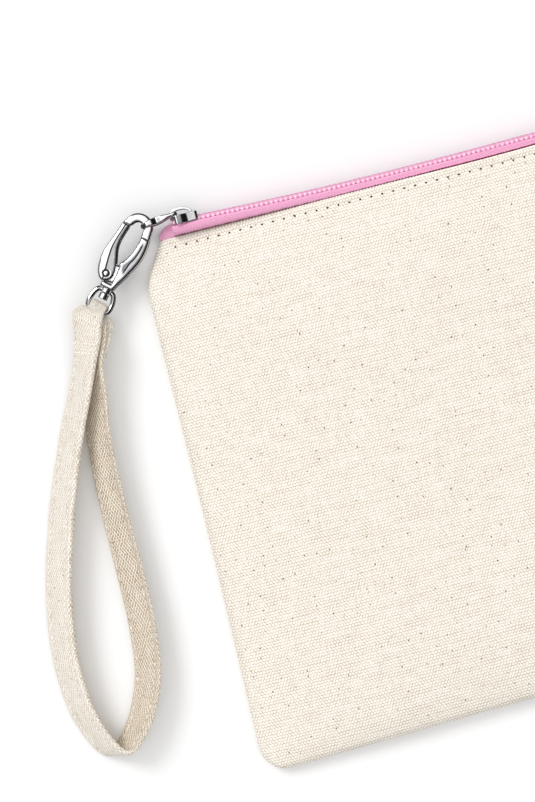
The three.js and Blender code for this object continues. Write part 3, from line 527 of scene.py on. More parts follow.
def panel_surfaces(side, rows, columns, low, high):
    """Outer and inner surface of a panel, from one share of its width to another, with the fold
    along its zip edge. The grid is crowded at the edges, where the cloth turns."""
    r = np.linspace(0, 1, rows)
    depth = POUCH_HEIGHT * (0.55 * (0.5 - 0.5 * np.cos(np.pi * r)) + 0.45 * r)
    s = np.linspace(low, high, columns)
    bend = np.sign(s) * (1 - (1 - np.abs(s)) ** 1.35)
    x, t = half_width(depth)[:, None] * bend, np.repeat(depth[:, None], columns, 1)
    seam, outer, y = seam_plane(x, t), outer_height(side, x, t), panel_y(x, t)
    limit = np.maximum if side > 0 else np.minimum
    inner = limit(outer - side * CLOTH, seam + side * 0.02)
    middle = 0.5 * (outer + inner)
    fold = 0.06 + 0.94 * round_off(t, 0.5)
    return [np.stack([x, y, middle + (face - middle) * fold], -1) for face in (outer, inner)]


# %% Front halves and back panel
ROWS, COLUMNS = 190, 170
for word, way in HALVES:
    points, faces = shell(*panel_surfaces(1, ROWS, COLUMNS, min(way, 0), max(way, 0)))
    # The cut down the middle is a sharp edge, or the shading would bend there.
    cut = np.arange(ROWS) * COLUMNS + (COLUMNS - 1 if way < 0 else 0)
    half = mesh_piece("front_canvas_" + word, points, faces, material=canvas,
                      sharp=np.concatenate([cut, cut + ROWS * COLUMNS]))
    dress(half, "front_panel", from_side=way)

back = mesh_piece("back_canvas", *shell(*panel_surfaces(-1, 120, 220, -1, 1)), material=canvas)
dress(back, "back_panel")

# %% Yarns that turn over the hem's fold
# The crossing yarns stand out where they turn over the fold, and make its line a row of beads.
for word, way in HALVES:
    x = np.arange(min(109 * way, 0) + 0.5, max(109 * way, 0), 1.0)
    spots = np.stack([x, zip_edge(x) + ZIP_EDGE_Y - 0.42,
                      outer_height(1, x, np.full_like(x, 0.3)) - 0.34], -1)
    over, out = (np.tile(v, (len(x), 1)) for v in ([0.0, 0.86, -0.5], [0.0, 0.5, 0.86]))
    yarns = mesh_piece("hem_yarns_" + word, *thread_bars(spots, over, out, 1.25, 0.33, 0.2),
                       material=thread)
    dress(yarns, from_side=way)

# %% Raw edges inside the seams
FROM_SEAM, TURNING = 2.5, 7.0        # where the strip starts, and how wide it is


def allowance(word, x, t):
    """A strip of doubled raw canvas inside a seam, waved a little where nothing holds it."""
    level = seam_plane(x, t) + 0.12 * np.sin(x / 3.1 + t / 4.3)
    faces = [np.stack([x, panel_y(x, t), level + half], -1) for half in (0.62, -0.62)]
    strip = mesh_piece("raw_edge_" + word, *shell(*faces), material=lining_canvas)
    dress(strip, "seam_allowance_" + word)


inwards = FROM_SEAM + np.linspace(0, TURNING, 6)
side_t = np.linspace(14, 159, 120)[:, None] + 0 * inwards
side_x = half_width(side_t) - inwards
for word, way in HALVES:
    allowance(word, way * side_x, side_t)
allowance("bottom", *np.meshgrid(np.linspace(-104, 104, 140), POUCH_HEIGHT - inwards))

# %% [markdown]
# ## Stitches
# A lockstitch shows as a short bar of thread that dives into the cloth at both ends, and the
# needle's hole is a dark dot. Each stitch is a small rounded bar, thinner at its ends, and all the
# stitches of one row that move together are one mesh.

# %% Topstitching and needle holes
holes_x = -HALF_OPENING + FIRST_HOLE + STITCH * np.arange(62)


def on_row(side, x, ahead=0.0, lift=0.0):
    """Places of the row on a panel's outer face, or a little ahead of them, lifted off it. The row
    keeps its distance to the hem, a little more at the corners."""
    t = 2.85 + 0.45 * share_across(x) ** 6
    x = x + ahead
    return np.stack([x, panel_y(x, t), outer_height(side, x, t) + side * lift], -1)


def stitches(name, side, x, length, radius, sink):
    """The stitches at the given places, as one mesh."""
    spots, ahead = on_row(side, x), on_row(side, x, 0.5)
    out = np.tile([0, 0, 1.0 * side], (len(x), 1))
    print(name, len(x), "stitches of", length, "mm")
    return mesh_piece(name, *thread_bars(spots, ahead - spots, out, length, radius, sink),
                      material=thread)


def needle_holes(name, spots, radius):
    """Small flat dark buttons where the needle went through: rings of ten points, domed."""
    across, up = circle(10)
    size = np.array([0.35, 0.8, 1.0, 0.8, 0.35]) * radius
    lift = np.array([-0.10, -0.08, 0.0, 0.05, 0.07])
    rings = size[:, None, None] * np.stack([across, 0.85 * up, 0 * up], -1)
    rings[..., 2] += lift[:, None]
    return mesh_piece(name, *merged([sweep(spot + rings) for spot in spots]), material=hole_shadow)


middles_x = 0.5 * (holes_x[:-1] + holes_x[1:])
for word, way in HALVES:
    kept = middles_x[(middles_x < 0) == (way < 0)]
    row = stitches("topstitch_front_" + word, 1, kept, 2.7, 0.19, 0.12)
    dress(row, "topstitch_front", from_side=way)
hole_shadow, _, _ = new_material("needle_hole_shadow", Base_Color=linear("3E241C"),
                                 Roughness=1.0, Specular_IOR_Level=0.0)
for word, way in HALVES:
    kept = holes_x[((holes_x < 0) == (way < 0)) & (np.abs(holes_x) < 109)]
    holes = needle_holes("needle_holes_" + word, on_row(1, kept, lift=0.06), 0.36)
    dress(holes, from_side=way)
dress(stitches("topstitch_back_row", -1, middles_x, 2.75, 0.2, 0.05), "topstitch_back")

# %% [markdown]
# ## The zip
# The coil is a nylon wire wound like a spring, each turn shaped so that it locks with the turns of
# the other half. From the side its turns show as a row of small bright knuckles. The tape under it
# is a woven ribbon that turns down into the pouch. Both are swept along the zip edge.

# %% Pink woven tape
# Woven polyester, with fine ribs 0.45 mm apart, drawn a little coarse so that they show.
tape_cloth, tt, ts = new_material("pink_woven_zip_tape", Roughness=0.85, Sheen_Weight=0.15,
                                  Specular_IOR_Level=0.2)
place = add_node(tt, "UVMap", uv_map="cloth")
xyz = add_node(tt, "SeparateXYZ", [place])
found = {"x": xyz.outputs[0], "y": xyz.outputs[1],
         "grain": add_node(tt, "TexNoise", {"Vector": place, "Scale": 3.0, "Detail": 4.0})}
for key, operation, *terms in (
        ("rib", "ADD", "x", "y"), ("rib", "MULTIPLY", "rib", 2 * np.pi / 0.62),
        ("rib", "SINE", "rib"), ("cross", "MULTIPLY", "y", 2 * np.pi / 0.5),
        ("cross", "SINE", "cross"), ("weave", "ADD", "rib", "cross"),
        ("tone", "MULTIPLY_ADD", "weave", 0.13, "grain")):
    inputs = [found.get(term, term) for term in terms]
    found[key] = add_node(tt, "Math", inputs, operation=operation)
pinks = add_node(tt, "ValToRGB", [found["tone"]], [(0.30, "E48FBB"), (0.72, "F9C2DD")])
# Where the ribbon dives under the hem it is painted deep red: painted shade, standing for the shade
# that gathers in the crease.
crease_shade = add_node(tt, "Attribute", attribute_name="crease_shade")
colour = add_node(tt, "Mix", {"Factor": crease_shade.outputs["Fac"], 6: pinks, 7: "6E1F33"},
                  data_type="RGBA")
surface(tt, ts, colour.outputs[2], found["tone"], 0.5, 0.15)

# %% Pink nylon
# Drawn nylon is glossy and a little translucent. The pale spot on each knuckle is a painted
# highlight.
nylon, nt, ns = new_material("pink_nylon_coil", Roughness=0.14, Subsurface_Weight=0.15,
                             Subsurface_Radius=(0.0012, 0.0006, 0.0008))
place = add_node(nt, "TexCoord").outputs["Object"]
drawn = add_node(nt, "TexNoise", {"Vector": place, "Scale": 1400.0, "Detail": 2.0})
tone = add_node(nt, "ValToRGB", [drawn], [(0.0, "E898C1"), (1.0, "F6B8D7")])
knuckle_highlight = add_node(nt, "Attribute", attribute_name="knuckle_highlight")
colour = add_node(nt, "Mix", {"Factor": knuckle_highlight.outputs["Fac"], 6: tone, 7: "FFF6FB"},
                  data_type="RGBA")
surface(nt, ns, colour.outputs[2])

# %% Tapes and coils along the zip edge
COIL_HIGH, COIL_HALF, PITCH = 1.9, 2.4, 1.57    # a number 5 coil: height, half width, tooth pitch
WIRE, PRESSED = 0.34, 0.42                      # the wire's radius, and how much it is widened
TAPE_START = 4.8                                # from the zip's end to the tape's
TAPE, SEWN = 0.5, 0.15                          # the tape's thickness, and the seam's play
TAPE_IN = CLOTH + SEWN + TAPE / 2               # from the canvas's face to the tape's middle


def ridge(x):
    """Height of the coil's back above the zip line."""
    return 2.2 + np.minimum(2.6, 3.3 * share_across(x) ** 2) - 0.16 * bell(np.abs(x), 52, 34)


def parting(x):
    """How far each half stands aside at the start, where the slider's wedge holds them apart."""
    s = np.clip((10.8 - (x + HALF_OPENING)) / 4.5, 0, 1)
    return 1.35 * s * s * (3 - 2 * s)


def tape_sections(side, xs):
    """The tape's cross section at each x, with the normal to it: up inside the panel, over its
    edge, and in under the coil."""
    def inside(t):
        """Height of the ribbon's middle where it lies inside the panel."""
        face = seam_plane(xs, t) + side * puff(xs, t)
        return (face if side > 0 else np.maximum(0, face)) - side * TAPE_IN

    edge, flat = zip_edge(xs), ridge(xs) - COIL_HIGH - TAPE / 2
    reach = CHAIN_LEVEL + side * (COIL_HALF + 0.45)
    crown = reach - side * 0.35
    under_hem = inside(0)
    dive = 0.5 if side > 0 else 0.0
    stops = [(edge - 8, inside(8)), (edge - 3, inside(3)),
             (edge - 0.2, under_hem - dive), (edge + 0.3, under_hem - 0.5 * dive),
             (edge + 0.42, under_hem + 0.8 * (crown - under_hem)),
             (edge + 0.42 + 0.35 * (flat - edge), crown),
             (flat + 0.1, reach), (flat + 0.12, reach - side * 0.7),
             (flat, CHAIN_LEVEL + side * (0.35 + parting(xs)))]
    path = np.stack([np.stack(np.broadcast_arrays(*stop), -1) for stop in stops], 1)
    # Corner cutting, twice, turns the path through nine stops into a smooth one.
    for _ in range(2):
        a, b = path[:, :-1], path[:, 1:]
        cut = np.stack([0.75 * a + 0.25 * b, 0.25 * a + 0.75 * b], 2).reshape(len(xs), -1, 2)
        path = np.concatenate([path[:, :1], cut, path[:, -1:]], 1)
    along = unit(np.gradient(path, axis=1))
    return path, np.stack([-along[..., 1], along[..., 0]], -1)


def tape_piece(name, side, low, high):
    """A length of ribbon, with painted shade, deep red, along its outer side where it dives under
    the hem.
    """
    xs = np.linspace(low, high, int((high - low) * 3.2))
    path, normal = tape_sections(side, xs)
    across = path.shape[1]
    grid_x = np.repeat(xs[:, None], across, 1)
    grids = [np.stack([grid_x, p[..., 0] + ZIP_EDGE_Y, p[..., 1]], -1)
             for p in (path + normal * TAPE / 2, path - normal * TAPE / 2)]
    points, faces = shell(*grids)
    steps = np.linalg.norm(np.diff(path, axis=1, prepend=path[:, :1]), axis=-1)
    flat = np.stack([grid_x, np.cumsum(steps, 1)], -1).reshape(-1, 2)
    uv = np.vstack([flat, flat])[faces]
    cut = np.arange(across) + (len(xs) - 1) * across * (low < -1)
    ribbon = mesh_piece(name, points, faces, uv, tape_cloth, np.concatenate([cut, cut + len(flat)]))
    # Painted shade: the ribbon is darkened where it dives under the hem, with an uneven edge along
    # the zip.
    from_hem = path[..., 0] - zip_edge(xs)[:, None]
    uneven = 0.08 * np.sin(2 * np.pi * xs / 1.0) + 0.04 * np.sin(2 * np.pi * xs / 3.7)
    dark = np.clip((0.52 + uneven[:, None] - from_hem) / 0.12, 0, 1)
    dark *= np.clip((from_hem + 1.2) / 0.4, 0, 1)
    paint(ribbon, "crease_shade", np.concatenate([dark * (side > 0), dark * (side < 0)]).reshape(-1))
    return ribbon


def coil_piece(name, side, low, high):
    """A nylon spring: each turn is an oval across the chain, leaning a little, with a flat tip."""
    turns = int((high - low) / PITCH + 0.01)
    phase = np.linspace(0, 2 * np.pi * turns, turns * 20 + 1)
    x = low + PITCH * ((0.25 if side > 0 else 0.75) + phase / (2 * np.pi))

    def beside(x, up, across):
        """A place: up from the coil's back, and across from the chain's middle."""
        return np.stack([x, ridge(x) + up + ZIP_EDGE_Y,
                         CHAIN_LEVEL + side * (across + parting(x))], -1)

    path = beside(x, 0.62 * np.sin(phase) - 0.24 * np.cos(phase) - 1.0,
                  0.93 + 1.17 * np.cos(phase))
    along = unit(np.gradient(path, axis=0))
    out = path - beside(x, -0.97, 0.93)
    out = unit(out - along * np.einsum("ij,ij->i", out, along)[:, None])
    wide = np.cross(along, out)
    c, s = (v[None, :, None] for v in circle(10))
    # The wire is pressed flat where the turns show, and is round at the tips that interlock.
    flat = WIRE + PRESSED * (0.5 + 0.5 * np.cos(phase)) ** 0.7
    ring = out[:, None, :] * c * WIRE + wide[:, None, :] * s * flat[:, None, None]
    wire = sweep(path[:, None, :] + ring)
    # A painted highlight: a pale spot on each knuckle, on the side of the turn that faces out.
    lag = (phase + np.pi) % (2 * np.pi) - np.pi + 0.22
    pale = bell(lag, 0, 0.50)[:, None] * bell(s[..., 0] * (WIRE + PRESSED) / WIRE, 0, 1)
    pale = pale * (c[..., 0] > 0)
    pale = np.vstack([pale[:1], pale, pale[-1:]]).reshape(-1)
    # The cord that the turns are wound round fills the spring's middle.
    c, s = circle(12)
    oval = np.stack([0 * c, 0.62 * s, 1.12 * c], -1)
    cord = sweep(beside(np.linspace(low, high, turns * 2), -0.97, 1.15)[:, None, :] + oval[None])
    spring = mesh_piece(name, *merged([wire, cord]), material=nylon)
    paint(spring, "knuckle_highlight", np.concatenate([pale, np.zeros(2 + len(cord[0]))]))
    print(name, turns, "turns")
    return spring


zip_start = -HALF_OPENING + TAPE_START
coil_start = zip_start + 0.6
coil_join = coil_start + 67 * PITCH         # the front coil's two lengths meet after a whole turn
for words, low, high, coil_low, coil_high, way in (
        ("front_left", zip_start, 0.0, coil_start, coil_join, -1),
        ("front_right", 0.0, -zip_start, coil_join, -coil_start, 1),
        ("back", zip_start, -zip_start, coil_start, -coil_start, 0)):
    side = 1 if way else -1
    half = words.split("_")[0]
    ribbon = tape_piece("tape_" + words, side, low, high)
    spring = coil_piece("coil_" + words, side, coil_low, coil_high)
    dress(ribbon, "zip_tape_" + half, from_side=way)
    dress(spring, "zip_coil_" + half, from_side=way)

# %% [markdown]
# ## The zip's folded ends
# At each end of the zip the spare tape is folded back and caught in the corner seam. It shows as
# a small pink triangle beside the slider.

# %% Folded tape ends
for word, way in HALVES:
    # A folded ribbon: a wedge that thins towards the side seam, with rounded long edges.
    s = np.linspace(0, 1, 30)[:, None]
    oval_z, oval_y = (np.sign(v) * np.abs(v) ** 0.55 for v in circle(28))
    height = 0.5 + 4.1 * (1 - np.exp(-5.4 * s / 1.7))
    rings = np.stack(np.broadcast_arrays(
        way * (HALF_OPENING + 0.3 - 5.4 * s),
        ZIP_EDGE_Y - 0.1 + height * (0.5 + 0.5 * oval_y),
        SEAM_LEVEL + 1.3 * s + (0.9 + 1.0 * s) * oval_z), -1)
    points, faces = sweep(rings)
    fold = mesh_piece("tape_end_fold_" + word, points, faces, points[faces][..., :2], tape_cloth)
    dress(fold, "zip_tape_end_" + word)
    print(fold.name, "up to", round(height.max(), 1), "mm high")

# %% [markdown]
# ## Dark nickel fittings
# The slider, puller, clasp and ring are zinc castings, tumbled smooth and plated with dark nickel.
# Casting leaves every edge soft. A copy of each solid is rebuilt from small even cells and its
# edges are then smoothed, which gives that softness all over at once. Dark nickel is a grey metal
# with a low roughness; fine scratches and slight waviness break its reflections.

# %% Dark nickel
nickel, mt, ms = new_material("dark_nickel_plate", Metallic=1.0)
place = add_node(mt, "TexCoord").outputs["Object"]
wavy = add_node(mt, "TexNoise", {"Vector": place, "Scale": 420.0, "Detail": 2.0})
worn = add_node(mt, "TexNoise", {"Vector": place, "Scale": 1500.0, "Detail": 3.0})
rough = add_node(mt, "MapRange", {"Value": worn, "To Min": 0.07, "To Max": 0.17})
plate = add_node(mt, "ValToRGB", [wavy], [(0.0, "C4C4C7"), (1.0, "D8D8DA")])
mt.links.new(rough.outputs[0], ms.inputs["Roughness"])
surface(mt, ms, plate.outputs[0], wavy, 0.15, 0.2)

# %% Where the clasp is, and cast copies of the metal solids
ZIP_CORNER = np.array([-HALF_OPENING, ZIP_EDGE_Y, 0])    # the places below are measured from it
PULL_LENGTH, CLASP_LENGTH, CLASP_LIFT = 12.58, 29.05, 0.75
puller_way, clasp_way = np.radians(186.6), np.radians(228)
along_clasp = np.array([np.cos(clasp_way), np.sin(clasp_way), 0])
wide_bar = np.array([-along_clasp[1], along_clasp[0], 0])
clasp_at = (np.array([6.9, 6.75, 6.65]) + [0, 0, CLASP_LIFT]
            + PULL_LENGTH * np.array([np.cos(puller_way), np.sin(puller_way), 0]))
bar_at = clasp_at + CLASP_LENGTH * along_clasp
level = clasp_at[2]

# Each relief: the stretch of the clasp's length that it covers, the sides of the long axis, and
# the share of the limb's width where a step runs, with the slopes before and after the step.
RELIEF = {"clasp_gate": (-30, 40, -9, 9, 0.40, -0.03, 0.055),
          "clasp_hook": (3.5, 15.5, 0.6, 9, 0.42, 0.10, 0.04)}
STEP_DROP, STATION, FAR = 0.11, 0.5, 90.0


def carve_faces(spots, relief):
    """The clasp's upper and lower faces, shaped as the mould shapes them: a raised outer strip, a
    small step down, and a gently sloping inner strip. Share is 0 at a limb's left side and 1 at
    its right, measured at stations half a millimetre apart."""
    start, end, left, right, step_at, slope_before, slope_after = relief
    from_pin = spots - clasp_at - ZIP_CORNER
    run, aside = from_pin @ along_clasp, from_pin @ wide_bar
    inside = (run > start) & (run < end) & (aside > left) & (aside < right)
    cell = ((run - run.min()) / STATION).astype(int)
    low, high = np.full(cell.max() + 1, FAR), np.full(cell.max() + 1, -FAR)
    np.minimum.at(low, cell[inside], aside[inside])
    np.maximum.at(high, cell[inside], aside[inside])
    centres = run.min() + STATION * (np.arange(len(low)) + 0.5)
    known = high > low
    wide_from, wide_to = (np.interp(run, centres[known], v[known]) for v in (low, high))
    width = np.maximum(0.5, wide_to - wide_from)
    share = (aside - wide_from) / width
    before, after = np.minimum(share, step_at) * width, np.maximum(share - step_at, 0) * width
    drop = (before * slope_before + after * slope_after
            + STEP_DROP * np.clip((share - step_at) / 0.07, 0, 1))
    ends = np.clip((run - start) / 1.5, 0, 1) * np.clip((end - run) / 1.5, 0, 1)
    up = spots[:, 2] - level
    spots[:, 2] -= np.where(inside, np.clip(up, -1, 1) * ends * drop, 0)
    return spots


def places(mesh):
    """The mesh's points in millimetres."""
    spots = np.empty(3 * len(mesh.vertices))
    mesh.vertices.foreach_get("co", spots)
    return spots.reshape(-1, 3) / MM


def cast_copy(name, node, body, cell, rounds, plump):
    """A copy of a solid, rebuilt from even cells and smoothed, so that its edges are soft."""
    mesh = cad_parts[node].data.copy()
    mesh.materials.clear()
    mesh.materials.append(nickel)
    piece = bpy.data.objects.new(name, mesh)
    scene.collection.objects.link(piece)
    bpy.context.view_layer.objects.active = piece
    weld = piece.modifiers.new("weld", "WELD")
    weld.merge_threshold = 1e-6
    remesh = piece.modifiers.new("cells", "REMESH")
    remesh.mode, remesh.voxel_size = "VOXEL", cell * MM
    remesh.use_smooth_shade = True
    soften = piece.modifiers.new("soften", "SMOOTH")
    soften.factor, soften.iterations = 0.5, rounds
    if plump:
        swollen = piece.modifiers.new("plump", "DISPLACE")
        swollen.mid_level, swollen.strength = 0.0, plump * MM
    depsgraph = bpy.context.evaluated_depsgraph_get()
    made = bpy.data.meshes.new_from_object(piece.evaluated_get(depsgraph))
    if node in RELIEF:
        carved = carve_faces(places(made), RELIEF[node])
        made.vertices.foreach_set("co", (carved * MM).reshape(-1))
        made.update()
    piece.modifiers.clear()
    piece.data = made
    made.name = name
    dress(piece, node, body)
    return made


castings = {node: cast_copy(name, node, *how) for name, node, *how in (
    ("slider_casting", "slider_body", "slider", 0.12, 6, 0.0),
    ("bridge_casting", "slider_bridge", "slider", 0.09, 10, 0.0),
    ("puller_casting", "puller", "puller", 0.10, 40, 0.12),
    ("clasp_casting", "clasp_hook", "clasp", 0.12, 70, 0.28),
    ("gate_casting", "clasp_gate", "gate", 0.11, 50, 0.20),
    ("swivel_pin", "swivel_post", "clasp", 0.09, 8, 0.0),
    ("ring_casting", "swivel_ring", "ring", 0.10, 8, 0.0))}

# %% The rivet, turned to stand just out of the gate, and a dark ring of painted shade in the gap round it
rivet_at = np.add(*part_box("gate_rivet")) / 2 / MM
spots = places(castings["clasp_gate"])
near_rivet = np.linalg.norm((spots - rivet_at)[:, :2], axis=1) < 1.1
top = spots[near_rivet, 2].max()
foot = 2 * level - top
# The gap round the rivet is a thin near-black ring: painted shade where the gap lies in shadow.
gap_shade, _, _ = new_material("painted_shade_in_rivet_gap", Base_Color=linear("121214"), Roughness=0.8)
for name, material, radii, heights in (
        ("rivet_pin", nickel, [0.66, 0.76, 0.78, 0.78, 0.76, 0.66],
         [foot - 0.14, foot - 0.10, foot, top, top + 0.10, top + 0.14]),
        ("rivet_gap", gap_shade, [1.16, 1.18, 1.18, 1.16],
         [foot - 0.04, foot + 0.05, top - 0.05, top + 0.04])):
    # A turned part: a profile of radii and heights carried round an upright axis.
    c, s = circle(48)
    rings = np.stack(np.broadcast_arrays(rivet_at[0] + np.outer(radii, c),
                                         rivet_at[1] + np.outer(radii, s),
                                         np.array(heights)[:, None]), -1)
    dress(mesh_piece(name, *sweep(rings), material=material), "gate_rivet", "clasp")
spring_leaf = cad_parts["gate_spring"].data
spring_leaf.materials.clear()
spring_leaf.materials.append(nickel)
print("gate's top at", round(top, 2), "mm")

# %% [markdown]
# ## The wrist strap
# A strip of canvas folded in four and stitched along both edges, gathered round the ring's bar
# and sewn across. It leans as it lies, so one edge is down on the table and the other stands up.
# Its centre line and the direction of its width are smooth curves through a few stations.

# %% The strap's path
STRAP_HALF, STRAP_THICK, LEAN = 6.2, 1.8, 0.72  # half width, thickness, rise of its width
WRAP = 0.85 + 0.3 + STRAP_THICK / 2             # from the bar's middle: its radius, play, cloth
GATHER = 2.75                                   # half width where the strap goes round the bar
LAYER = STRAP_THICK + 0.3
SEWN_AT = (-28.7, -24.3, 7.2, 0.69)             # where the three layers are sewn together


def rest_height(lean):
    """Height of the band's middle when its lower edge touches the table at this lean."""
    return lean * STRAP_HALF + np.sqrt(1 - lean ** 2) * STRAP_THICK / 2 + 0.15


def across_way(x, y, up):
    """The direction of the band's width: a way in the plan, with a rise."""
    return np.array([*(np.array([x, y]) / np.hypot(x, y) * np.sqrt(1 - up ** 2)), up])


def from_zip(x, y, up):
    """A place measured in the plan from the zip's end, read off the picture."""
    return np.array([bar_at[0] + x + 25.03, bar_at[1] + y + 16.29, up])


def round_bar(degrees):
    """Gathered round the bar, at an angle from its underside."""
    angle = np.radians(degrees)
    place = bar_at - along_clasp * WRAP * np.sin(angle)
    return [np.array([place[0], place[1], level - WRAP * np.cos(angle)]), wide_bar, GATHER]


def past_bar(distance, side, half, shift, tilt=0.0):
    """Under or over the bar, a little past it: the band opens out again and starts to lean."""
    place = bar_at + along_clasp * distance + wide_bar * shift
    lean = wide_bar * np.sqrt(1 - tilt ** 2) + [0, 0, tilt]
    return [np.array([place[0], place[1], level + side * WRAP]), lean, half]


def stacked(x, y, up, tilt, number, half=STRAP_HALF):
    """One of the three layers that are sewn together and lean to the left."""
    normal = np.array([-0.93 * tilt, 0.37 * tilt, np.sqrt(1 - tilt ** 2)])
    return [from_zip(x, y, up) + normal * number * LAYER, across_way(0.93, -0.37, tilt), half]


def lying(x, y, right, ahead, lean, lift=0.0):
    """A stop of the loop: place in the plan, direction of the width, and how much it leans."""
    return [from_zip(x, y, rest_height(lean) + lift), across_way(right, ahead, lean), STRAP_HALF]


stations = [
    stacked(-30.9, -29.6, 7.1, 0.78, -1, 5.4), stacked(*SEWN_AT, -1),
    past_bar(4.2, -1, 6.0, 1.7, 0.35), past_bar(2.1, -1, 5.5, 1.7, 0.12),
    past_bar(0.8, -1, 4.5, 1.3), *(round_bar(angle) for angle in (0, 45, 90, 135, 180)),
    past_bar(0.8, 1, 3.9, -0.95), past_bar(2.1, 1, 4.7, -1.3, 0.12),
    past_bar(4.2, 1, 5.6, -1.15, 0.35), stacked(*SEWN_AT, 1), stacked(-31.0, -30.8, 7.1, 0.78, 1),
    lying(-36.7, -39.4, 0.92, -0.4, 0.80, 0.8), lying(-43.8, -54, 0.92, -0.38, 0.78),
    lying(-53.3, -77.7, 0.94, -0.33, 0.74), lying(-60.6, -102, 0.96, -0.28, LEAN),
    lying(-63.6, -124, 0.98, -0.2, LEAN), lying(-61.6, -142.5, 1, -0.12, LEAN),
    lying(-55.3, -153.8, 1, -0.08, LEAN), lying(-47.7, -148.4, 1, -0.05, LEAN),
    lying(-40.1, -134.2, 1, -0.03, LEAN), lying(-37.1, -116, 1, 0, LEAN),
    lying(-36.5, -95.4, 1, 0, LEAN), lying(-36.2, -75, 1, -0.03, 0.75),
    lying(-35.0, -56, 1, -0.12, 0.79), lying(-32.5, -42, 0.97, -0.25, 0.8, 0.1),
    stacked(-31.0, -31.5, 7.1, 0.78, 0), stacked(-28.8, -25, 7.2, 0.70, 0),
    stacked(-27.0, -20.4, 7.3, 0.45, 0, 4.6)]


def curve_through(points, count, power):
    """A smooth curve through points: cubic pieces whose speed follows the spacing to a power."""
    points = np.asarray(points, float)
    padded = np.vstack([2 * points[0] - points[1], points, 2 * points[-1] - points[-2]])
    u = np.linspace(0, len(points) - 1, count)
    i = np.minimum(u.astype(int), len(points) - 2)
    w = (u - i)[:, None]
    p0, p1, p2, p3 = (padded[i + k] for k in range(4))
    d0, d1, d2 = (np.maximum(np.linalg.norm(b - a, axis=1, keepdims=True), 1e-4) ** power
                  for a, b in ((p0, p1), (p1, p2), (p2, p3)))
    t1 = ((p1 - p0) / d0 - (p2 - p0) / (d0 + d1) + (p2 - p1) / d1) * d1
    t2 = ((p2 - p1) / d1 - (p3 - p1) / (d1 + d2) + (p3 - p2) / d2) * d1
    c2, c3 = -3 * p1 + 3 * p2 - 2 * t1 - t2, 2 * p1 - 2 * p2 + t1 + t2
    return p1 + t1 * w + c2 * w ** 2 + c3 * w ** 3


STEPS = 620
strap_middle = curve_through([s[0] for s in stations], STEPS, 0.5) + ZIP_CORNER
strap_wide = curve_through([s[1] * s[2] for s in stations], STEPS, 0.0)
strap_along = unit(np.gradient(strap_middle, axis=0))
strap_out = unit(np.cross(strap_along, strap_wide))
strap_run = np.append(0, np.cumsum(np.linalg.norm(np.diff(strap_middle, axis=0), axis=1)))
print("strap band:", round(strap_run[-1]), "mm long")

# %% The strap's canvas
# Its yarns run along and across the band, so they follow the band's own measure, not the room's.
# Its shaded tints are painted shade, for the side that lies inside the loop.
strap_canvas = canvas_material("folded_strap_canvas", "FFFAF1", "9A8463", 0.9, flecks=0.8,
                               by_band=True, pitch=(0.93, 0.50),
                               shaded=("inner_face_shade", "CFC0AF", "FEFBF5"))
# The cross section is an oblong with round edges: a is the share of the half width, b that of the
# half thickness. A groove runs along each row of stitches.
a, b = (np.sign(v) * np.abs(v) ** power for v, power in zip(circle(56), (0.32, 0.62)))
from_edge = (1 - np.abs(a)) * np.linalg.norm(strap_wide, axis=1)[:, None]
groove = 1 - 0.30 * bell(from_edge, 2.3, 0.45) + 0.06 * bell(from_edge, 1.0, 0.7)
run = strap_run[:, None]
wobble = 0.05 * np.sin(run / 2.1 + 3 * a) + 0.04 * np.sin(run / 5.3 + a * 9)
# Standing on its edge, the right run bends to an S: steep in the middle, flat at both edges.
bend = np.exp(-((strap_run - 245) / 48) ** 4)
rise = (STRAP_THICK / 2 * groove + wobble) * b + bend[:, None] * np.sin(np.pi * a)
rings = (strap_middle[:, None, :] + strap_wide[:, None, :] * a[None, :, None]
         + strap_out[:, None, :] * rise[..., None])
points, faces = sweep(rings)
number = np.arange(len(points))
run = np.array([0, *strap_run, strap_run[-1]])[np.minimum(number // len(a), STEPS + 1)]
across, through = a[number % len(a)], b[number % len(a)]
place_uv = np.stack([run, across * STRAP_HALF + 0.5 * through], -1)
strap = mesh_piece("canvas_wrist_strap", points, faces, place_uv[faces], strap_canvas)
# Painted shade on the side that lies inside the loop: it is darker, fading in between 60 and 80 mm
# along the band.
paint(strap, "inner_face_shade", np.clip(0.5 - 1.2 * through, 0, 1)
      * np.interp(run, [0, 60, 80, strap_run[-1]], [0, 0, 1, 1]))
dress(strap, "wrist_strap", "strap")

# %% The strap's stitches, and the yarns that turn over its folded edges


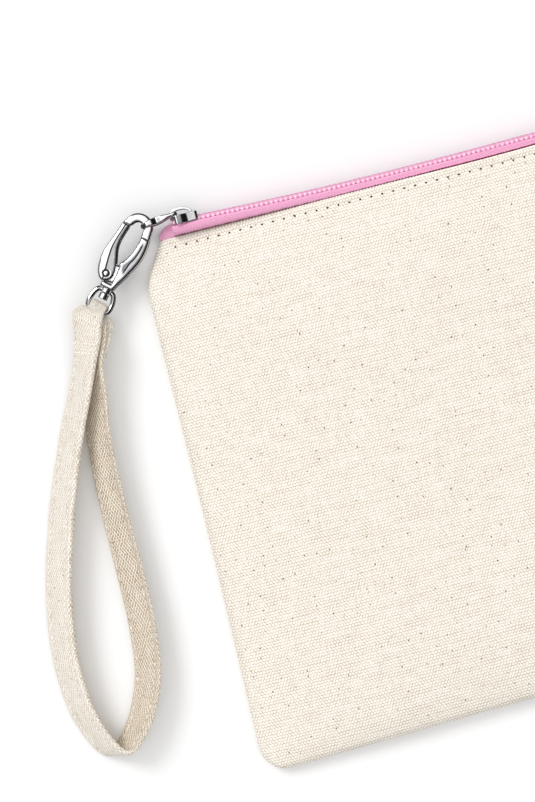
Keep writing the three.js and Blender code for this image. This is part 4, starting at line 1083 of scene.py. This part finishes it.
def on_strap(run_at, share, face, lift):
    """Places on the band, and its directions there: a measure along it, a share of its half
    width, a face and a height."""
    i = np.interp(run_at, strap_run, np.arange(STEPS))
    low = np.clip(i.astype(int), 0, STEPS - 2)
    w = (i - low)[:, None]
    middle, along, wide, out = (rows[low] * (1 - w) + rows[low + 1] * w
                                for rows in (strap_middle, strap_along, strap_wide, strap_out))
    out = unit(out)
    lifted = (face * lift * STRAP_THICK / 2
              + np.interp(run_at, strap_run, bend) * np.sin(np.pi * share))
    return middle + wide * share + out * lifted[:, None], unit(along), unit(wide), out


seams, rows, beads = [], [], []
for share, face in ((0.63, 1), (-0.63, 1), (0.63, -1), (-0.63, -1)):
    place, along, wide, out = on_strap(np.arange(6.0, strap_run[-1] - 4, 3.3), share, face, 0.80)
    seams.append(thread_bars(place, along, face * out, 1.9, 0.20))
# Two rows across the three layers hold the strap on its ring.
sewn_at = stacked(*SEWN_AT, 1)[0] + ZIP_CORNER
past = np.argmin(np.linalg.norm(strap_middle - sewn_at, axis=1))
for step, shift in ((2.2, 0.0), (5.2, 0.14)):
    for share in np.arange(-0.82, 0.7, 0.30) + shift:
        place, along, wide, out = on_strap(np.array([strap_run[past] + step]), share, 1, 1.08)
        rows.append(thread_bars(place, wide, out, 1.4, 0.30, 0.3))
# The crossing yarns show as beads on both edges, but not where they would rub on the ring's bar.
from_bar = strap_middle - bar_at - ZIP_CORNER
from_bar = np.hypot(from_bar @ along_clasp, from_bar[:, 2])
spots = np.arange(3.0, strap_run[-1] - 2, 0.93)
spots = spots[np.interp(spots, strap_run, from_bar) > 3.4]
for share in (1, -1):
    place, along, wide, out = on_strap(spots, share * 0.975, 0, 0.0)
    beads.append(thread_bars(place, out, share * wide, 1.15, 0.29, 0.30, rings=4, around=6))
for name, bars, material, slot in (("strap_topstitches", seams, strap_thread, "thread"),
                                   ("strap_end_stitches", rows, thread, "thread"),
                                   ("strap_edge_yarns", beads, strap_thread, "strap_canvas")):
    dress(mesh_piece(name, *merged(bars), material=material), body="strap")
